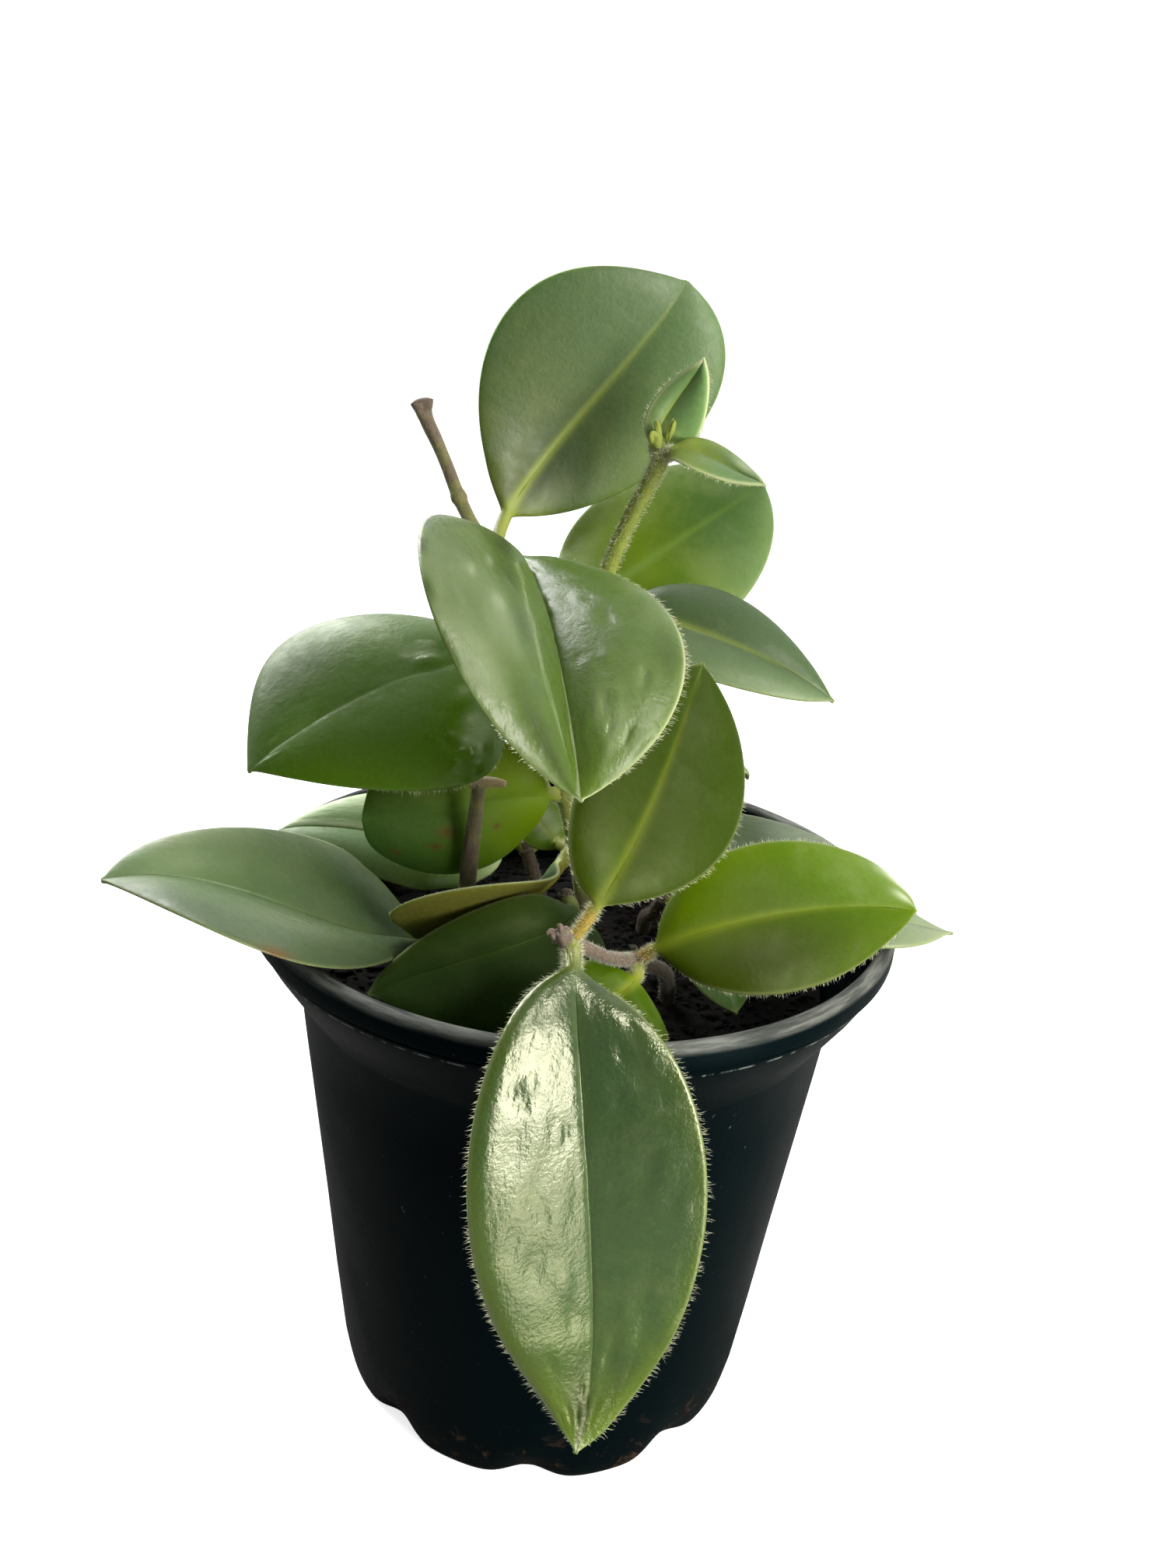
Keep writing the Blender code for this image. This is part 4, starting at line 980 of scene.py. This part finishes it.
# Its patch paints a pale highlight in the middle of the blade.
leaf("leaf_inner_small", MAIN_LOW, (-3, 8.5, 95.5), (-7, 13, 97.5), (-11, 17, 101), (4.5, 4.5), (0.3, -0.9, 0.5),
     young_green, patches=[(0.5, 0, 2.5, 0, 1, 0)], seed=9)


# Leaves of the side shoot. The youngest ones, soft and long-haired, with two buds between the top pair.
leaf("leaf_shoot_back", SHOOT_LOW, (1.5, 12.1, 138.5), (13.9, 21.4, 147.3), (26.7, 27.4, 156.1), (17.5, 15.3),
     (-0.48, -1, 0.35), shade_green, slot="young_leaf", fold=(-7, 2), cup=(-13, -9),
     outline=((0.34, 0.49), (0.45, 0.64)), groove=0.03, hair=(0.7, 1.8), warm=(1.3, -0.3, 0.5, -0.2, 0),
     light=(0.64, 0.15, 0, 0.3), bloom=(-0.1, 0.3, 0, 0.1), vein=0.8, patches=[(0.25, -0.9, 4, -0.25, -0.2, 1)],
     seed=10)
leaf("leaf_shoot_right", SHOOT_LOW, (4.4, 5.8, 137.1), (19.9, -0.7, 135.2), (37.6, -2.8, 127.7), (10.4, 8.7),
     (0.03, -1, 1.39), old_green, fold=(6, 10), cup=(-16, -14), outline=((0.47, 0.96), (0.5, 0.79)), point=0.5,
     hair=(0.5, 0.8), warm=(0.1, 0, 0, 0, 0), light=(0.46, 0.1, 0, 0.36), bloom=(0, 0, 0, 0.4), seed=11)
leaf("leaf_shoot_tip", SHOOT_TOP, (7, 6.4, 163.2), (10.1, 8, 170.3), (12.8, 5.8, 175.8), (2.9, 6.2), (0.1, -1, 0.28),
     old_green, fold=(11, 20), cup=(1, 10), outline=((0.56, 0.98), (0.49, 0.97)), thick=0.8, stalk=0.8, hair=(0.9, 8),
     light=(1.1, 0, -0.1, 0.9), rim=(0.9, 0.9), seed=12)
# Its patches paint a silvery highlight near the tip and light near the base.
leaf("leaf_shoot_side", SHOOT_TOP, (9.6, 3.1, 162.4), (17, -0.3, 161.2), (22.8, -4.3, 159.3), (3.3, 6.2),
     (-0.07, -1, 1.9), old_green, fold=(9, 16), cup=(-1, -2), outline=((0.36, 0.89), (0.52, 0.92)), thick=0.8,
     stalk=0.8, hair=(0.8, 8), warm=(0.9, 0, 0, 0, 0), rim=(0.6, 0.6),
     patches=[(0.7, -0.5, 1.6, 0.2, 0.8, -0.5), (0.1, -0.5, 2, 0.4, 0, 0)], seed=13)


# Leaves of the front stem. Yellow-green and fringed with dense white hairs. The longest hangs over the rim, its
# two halves folded along the midrib.
# Its patches paint shade on the lower left margin and over the tip.
leaf("leaf_front_hanging", FRONT_TOP, (0.6, -50.1, 104.1), (5.1, -62.6, 76.2), (6.6, -71.1, 48.1), (14.7, 15.6),
     (0.3, -1, 0.03), glossy_green, slot="young_leaf", fold=(11, 17), cup=(0, -4),
     outline=((0.78, 0.95), (0.79, 1.01)), point=-0.5, rows=150, steps=30, pillow=0.15, roll=(-0.15, 0.6),
     tip_bend=-1.8, tip_flat=0.9, groove=0.2, dents=(60, 2.0, 0.14), marks=[
         (0.24, 0.71, 1.1, 0.2), (0.23, 0.54, 1.0, -0.2), (0.26, 0.59, 0.9, 0.2), (0.33, 0.18, 1.0, 0.18),
         (0.33, 0.24, 0.8, -0.15), (0.16, 0.59, 0.9, 0.12), (0.46, 0.41, 1.2, 0.15), (0.48, 0.67, 1.3, 0.2),
         (0.33, 0.63, 2.6, 0.2), (0.38, 0.4, 2.4, 0.2), (0.6, 0.3, 1.6, -0.15), (0.68, 0.25, 1.8, 0.2),
         (0.62, -0.2, 0.8, -0.12), (0.68, -0.35, 0.9, -0.15), (0.75, -0.15, 0.9, -0.15), (0.55, 0.6, 2.2, 0.2),
     ], hair=(0.95, 5), warm=(0.15, 1.2, 0, 0.1, 0.8), light=(0.3, 0.4, 0, 0), vein=0.15, patches=[
         *[(0.1 + 0.1 * step, 1.0, 1.5, 0, 0, -0.25) for step in range(8)], (0.12, -0.5, 5, 0, 0, -0.2),
         (0.62, 0.95, 3, -0.1, -0.2, 0), (0.75, 0.8, 3, -0.15, -0.2, 0), (0.9, 0.2, 4.5, -0.35, -0.5, 0.2),
         (0.99, 0, 4, -0.25, -0.6, 0.2), (0.85, -0.5, 3, -0.2, -0.3, 0),
     ], seed=14)
leaf("leaf_front_upright", FRONT_TOP, (3.1, -43.8, 110.2), (10.1, -32.1, 122.7), (15.3, -19, 136.4), (10.5, 13.2),
     (0.22, -1, 0.2), young_green, slot="young_leaf", fold=(6, 3), cup=(-8, -10), outline=((0.5, 0.75), (0.9, 0.86)),
     stalk=0.8, groove=0.05, hair=(0.95, 5), warm=(0.5, 0.15, 0.15, 0, 0), light=(0.26, 0.03, 0, 0.05), vein=0.28,
     amber=0.7, patches=[(0.98, 0, 1.6, 0.5, 0.5, 0), (0.12, -0.2, 3, 0.12, 0, 0)], seed=15)
# Its patches paint cream glints on the tip's curled margin, and light and shade over the blade.
leaf("leaf_right_front", FRONT_LOW, (12.5, -32.4, 98.6), (30.8, -28.5, 103.7), (50.2, -22.1, 102.3), (11.1, 10.9),
     (0.07, -1, 0.94), young_green, slot="young_leaf", fold=(4, 4), outline=((0.66, 0.72), (0.69, 0.95)), point=-0.6,
     stalk=0.9, curl=(0, 0.93, 0.07, -1.0), groove=0.02, hair=(0.75, 5), warm=(0.9, 0.5, 0, 0.1, 0.2),
     light=(0.55, 0.36, 0.24, -0.3), vein=0.3, amber=1.0, patches=[
         (0.9, -0.85, 2.2, 0.3, 1, 0), (0.93, -0.4, 1.4, 0.3, 1, 0), (0.95, -0.8, 1.2, 0.3, 1, 0),
         (0.7, -0.3, 5, 0, 0.1, 0), (0.35, 0.5, 6, -0.3, 0, 0), (0.42, -0.4, 5, -0.22, 0, 0),
         (0.6, 0.3, 5, -0.12, 0, 0),
     ], seed=16)
leaf("leaf_front_curled", FRONT_LOW, (9.1, -34.4, 94.2), (1.3, -39.3, 89.4), (-1.6, -42.5, 84), (12.4, 7.2),
     (0.25, -1, 0.65), young_green, slot="young_leaf", fold=(14, 7), cup=(-9, -12),
     outline=((0.46, 0.67), (0.56, 0.55)), wave=(0.4, 3, 0), hair=(0.6, 4), warm=(0.2, 0.2, 0, 0, 0.2),
     light=(0.7, 0, 0, 0), seed=17)


# Leaves of the short stems. Old, dull green blades that lie on the soil and over the rim, with few hairs.
leaf("leaf_left_rim", LEFT_TOP, (-23.4, -12.7, 85.9), (-44.1, -27.6, 98.6), (-62.9, -37.4, 104.7), (20.3, 16.3),
     (0.31, -1, 1.78), old_green, fold=(36, 1), cup=(1, -10), outline=((1.42, 0.82), (0.23, 0.69)), groove=0.04,
     hair=(0.25, 1.5), warm=(0.1, 0, 0, 0.3, 0), light=(0.7, 0.2, -0.35, 0), bloom=(0.05, 0.15, 0.1, 0.1), vein=0.15,
     spots=[(0.62, -0.97, 1.4)], patches=[
         (0.45, -0.35, 5, 0.2, 0.2, -0.3), (0.75, 0.3, 4, 0.1, 0.15, -0.3), (0.3, 0.5, 4, -0.15, -0.2, 0),
         (0.85, -0.7, 5, -0.1, -0.2, 0),
     ], seed=18)
# Its upper half is painted lighter with silvery sheen and a highlight beside the rib, its lower half darker.
leaf("leaf_left_back", LEFT_TOP, (-18.1, 2.4, 89), (-36.4, 4, 96.6), (-49.9, 3.2, 96.1), (8.7, 13.1),
     (0.03, -1, 2.22), old_green, fold=(2, 2), cup=(-11, -9), outline=((0.63, 0.8), (0.44, 1.1)), groove=0.04,
     warm=(0, 0, 0, 0, 0), light=(1.6, 0, -0.8, 1.0), bloom=(-0.1, 0, -0.3, 1.0), vein=0.3, rib_highlight=(0.9, 0.9), seed=19)
leaf("leaf_inner_front", CENTRE_TOP, (0, -12.4, 93.2), (-16.9, -24.9, 89.4), (-28.6, -30.1, 86.1), (14.4, 7),
     (0.25, -1, 0.56), shade_green, fold=(5, 4), cup=(-11, -12), outline=((0.5, 1.06), (0.69, 1.05)), groove=0.05,
     hair=(0.25, 4), warm=(0.1, 0, 0, 0.4, 0), light=(0.44, 0, 0, -0.06), vein=0.2, seed=20)
leaf("leaf_soil_right", RIGHT_TOP, (20.5, 1, 88), (24, -13, 86.5), (25.5, -26, 85.3), (5.5, 6.5), (0, -0.4, 0.9),
     shade_green, outline=(0.6, 0.8), seed=21)
leaf("leaf_right_rim", RIGHT_TOP, (19.7, 9, 90.4), (34.9, -6, 98.3), (60.8, -8.6, 92.7), (15.2, 12.9),
     (0.2, -1, 3.01), old_green, fold=(12, 4), cup=(-7, -11), outline=((0.2, 1.07), (0.7, 1.16)), groove=0.05,
     warm=(0, 0, 0, 0, 0), light=(0.56, 0.28, 0, 0), bloom=(0.3, 0.4, 0, 0), vein=0.3, seed=22)
leaf("leaf_back_rim", RIGHT_TOP, (14, 12, 91), (6, 33, 99), (1, 55, 96.5), (12, 12), (0, 0.1, 1), old_green, seed=23)
leaf("leaf_back_left", BACK_TOP, (-13, 19, 92), (-27, 30, 97), (-38, 43, 96), (11, 11), (-0.1, 0.1, 1), old_green,
     seed=24)
leaf("leaf_back_small", BACK_TOP, (-6.3, 21, 91.2), (-2.5, 31, 93), (0, 41, 90), (7, 6), (0, 0.2, 1), young_green,
     seed=25)


# Floor and light. A white table in a bright room: a broad window behind and above to the left, a low one in front
# to the right that shines in the hanging leaf, a faint one above that, and soft light that is stronger from behind.
# The camera sees the table white. To the leaves it is dim, and polished in front of the pot on the right.
POLISH_NEAR, POLISH_FAR = 0.15, 0.21
POLISH_LEFT, POLISH_RIGHT = 0.03, 0.09
floor_mesh = bpy.data.meshes.new("floor")
floor_mesh.from_pydata([(-4, -4, 0), (4, -4, 0), (4, 4, 0), (-4, 4, 0)], [], [(0, 1, 2, 3)])
floor_paint, floor_shader = new_look("floor_paint", Base_Color=rgb(0.86, 0.86, 0.85), Roughness=0.8,
                                     Specular_IOR_Level=0.1, Emission_Color=rgb(1, 1, 1), Emission_Strength=0.75)
dim_floor = wire(floor_paint, "ShaderNodeBsdfDiffuse", {"Color": rgb(0.22, 0.22, 0.21)})
floor_gloss = wire(floor_paint, "ShaderNodeBsdfGlossy", {"Color": rgb(0.9, 0.88, 0.75), "Roughness": 0.2})
floor_place = place(floor_paint)
to_right = wire(floor_paint, "ShaderNodeSeparateXYZ", {"Vector": floor_place}, "X")
away = wire(floor_paint, "ShaderNodeVectorMath", {0: floor_place}, "Value", operation="LENGTH")
polish = times(floor_paint, spread(floor_paint, away, POLISH_NEAR, POLISH_FAR, 0, 0.4),
               spread(floor_paint, to_right, POLISH_LEFT, POLISH_RIGHT))
dim_floor = wire(floor_paint, "ShaderNodeMixShader", {0: polish, 1: dim_floor, 2: floor_gloss})
floor_seen = wire(floor_paint, "ShaderNodeLightPath", {}, "Is Camera Ray")
floor_mix = wire(floor_paint, "ShaderNodeMixShader", {0: floor_seen, 1: dim_floor, 2: floor_shader.outputs[0]})
floor_paint.node_tree.links.new(floor_mix, floor_paint.node_tree.nodes["Material Output"].inputs["Surface"])
floor_mesh.materials.append(floor_paint)
floor = bpy.data.objects.new("floor", floor_mesh)
bpy.context.scene.collection.objects.link(floor)


def softbox(name, spot, aim, width, height, watts, tint):
    """A flat soft light that faces a point."""
    lamp = bpy.data.lights.new(name, "AREA")
    lamp.shape = "RECTANGLE"
    lamp.size, lamp.size_y = width, height
    lamp.energy = watts
    lamp.color = tint
    box = bpy.data.objects.new(name, lamp)
    away = unit(np.array(spot, float) - aim)
    across = unit(np.cross((0, 0, 1), away))
    turned = np.eye(4)
    turned[:3] = np.column_stack([across, np.cross(away, across), away, spot])
    box.matrix_world = Matrix(turned.tolist())
    bpy.context.scene.collection.objects.link(box)


softbox("back_window", (-0.5, 0.55, 0.62), (0, 0, 0.12), 0.7, 0.6, 11, (1.0, 0.99, 0.97))
softbox("front_window", (0.323, -0.286, 0.185), (0.004, -0.062, 0.09), 0.19, 0.34, 2.9, (1.0, 0.97, 0.88))
softbox("high_window", (0.2, -0.15, 0.43), (-0.003, -0.057, 0.1), 0.14, 0.14, 0.7, (1.0, 0.97, 0.88))

world = bpy.data.worlds.new("room")
bpy.context.scene.world = world
world.use_nodes = True
sky = world.node_tree.nodes["Background"]
direction = wire(world, "ShaderNodeTexCoord", {}, "Generated")
ahead = wire(world, "ShaderNodeSeparateXYZ", {"Vector": direction}, "Y")
lit = spread(world, ahead, -0.35, 0.55, 0.2, 1.0)
seen = wire(world, "ShaderNodeLightPath", {}, "Is Camera Ray")
world.node_tree.links.new(wire(world, "ShaderNodeMix", {0: seen, 2: lit, 3: 1.1}), sky.inputs["Strength"])
world.node_tree.links.new(colours(world, seen, rgb(0.98, 0.99, 1.0), rgb(1, 1, 1)), sky.inputs["Color"])
bpy.context.scene.view_settings.view_transform = "Standard"
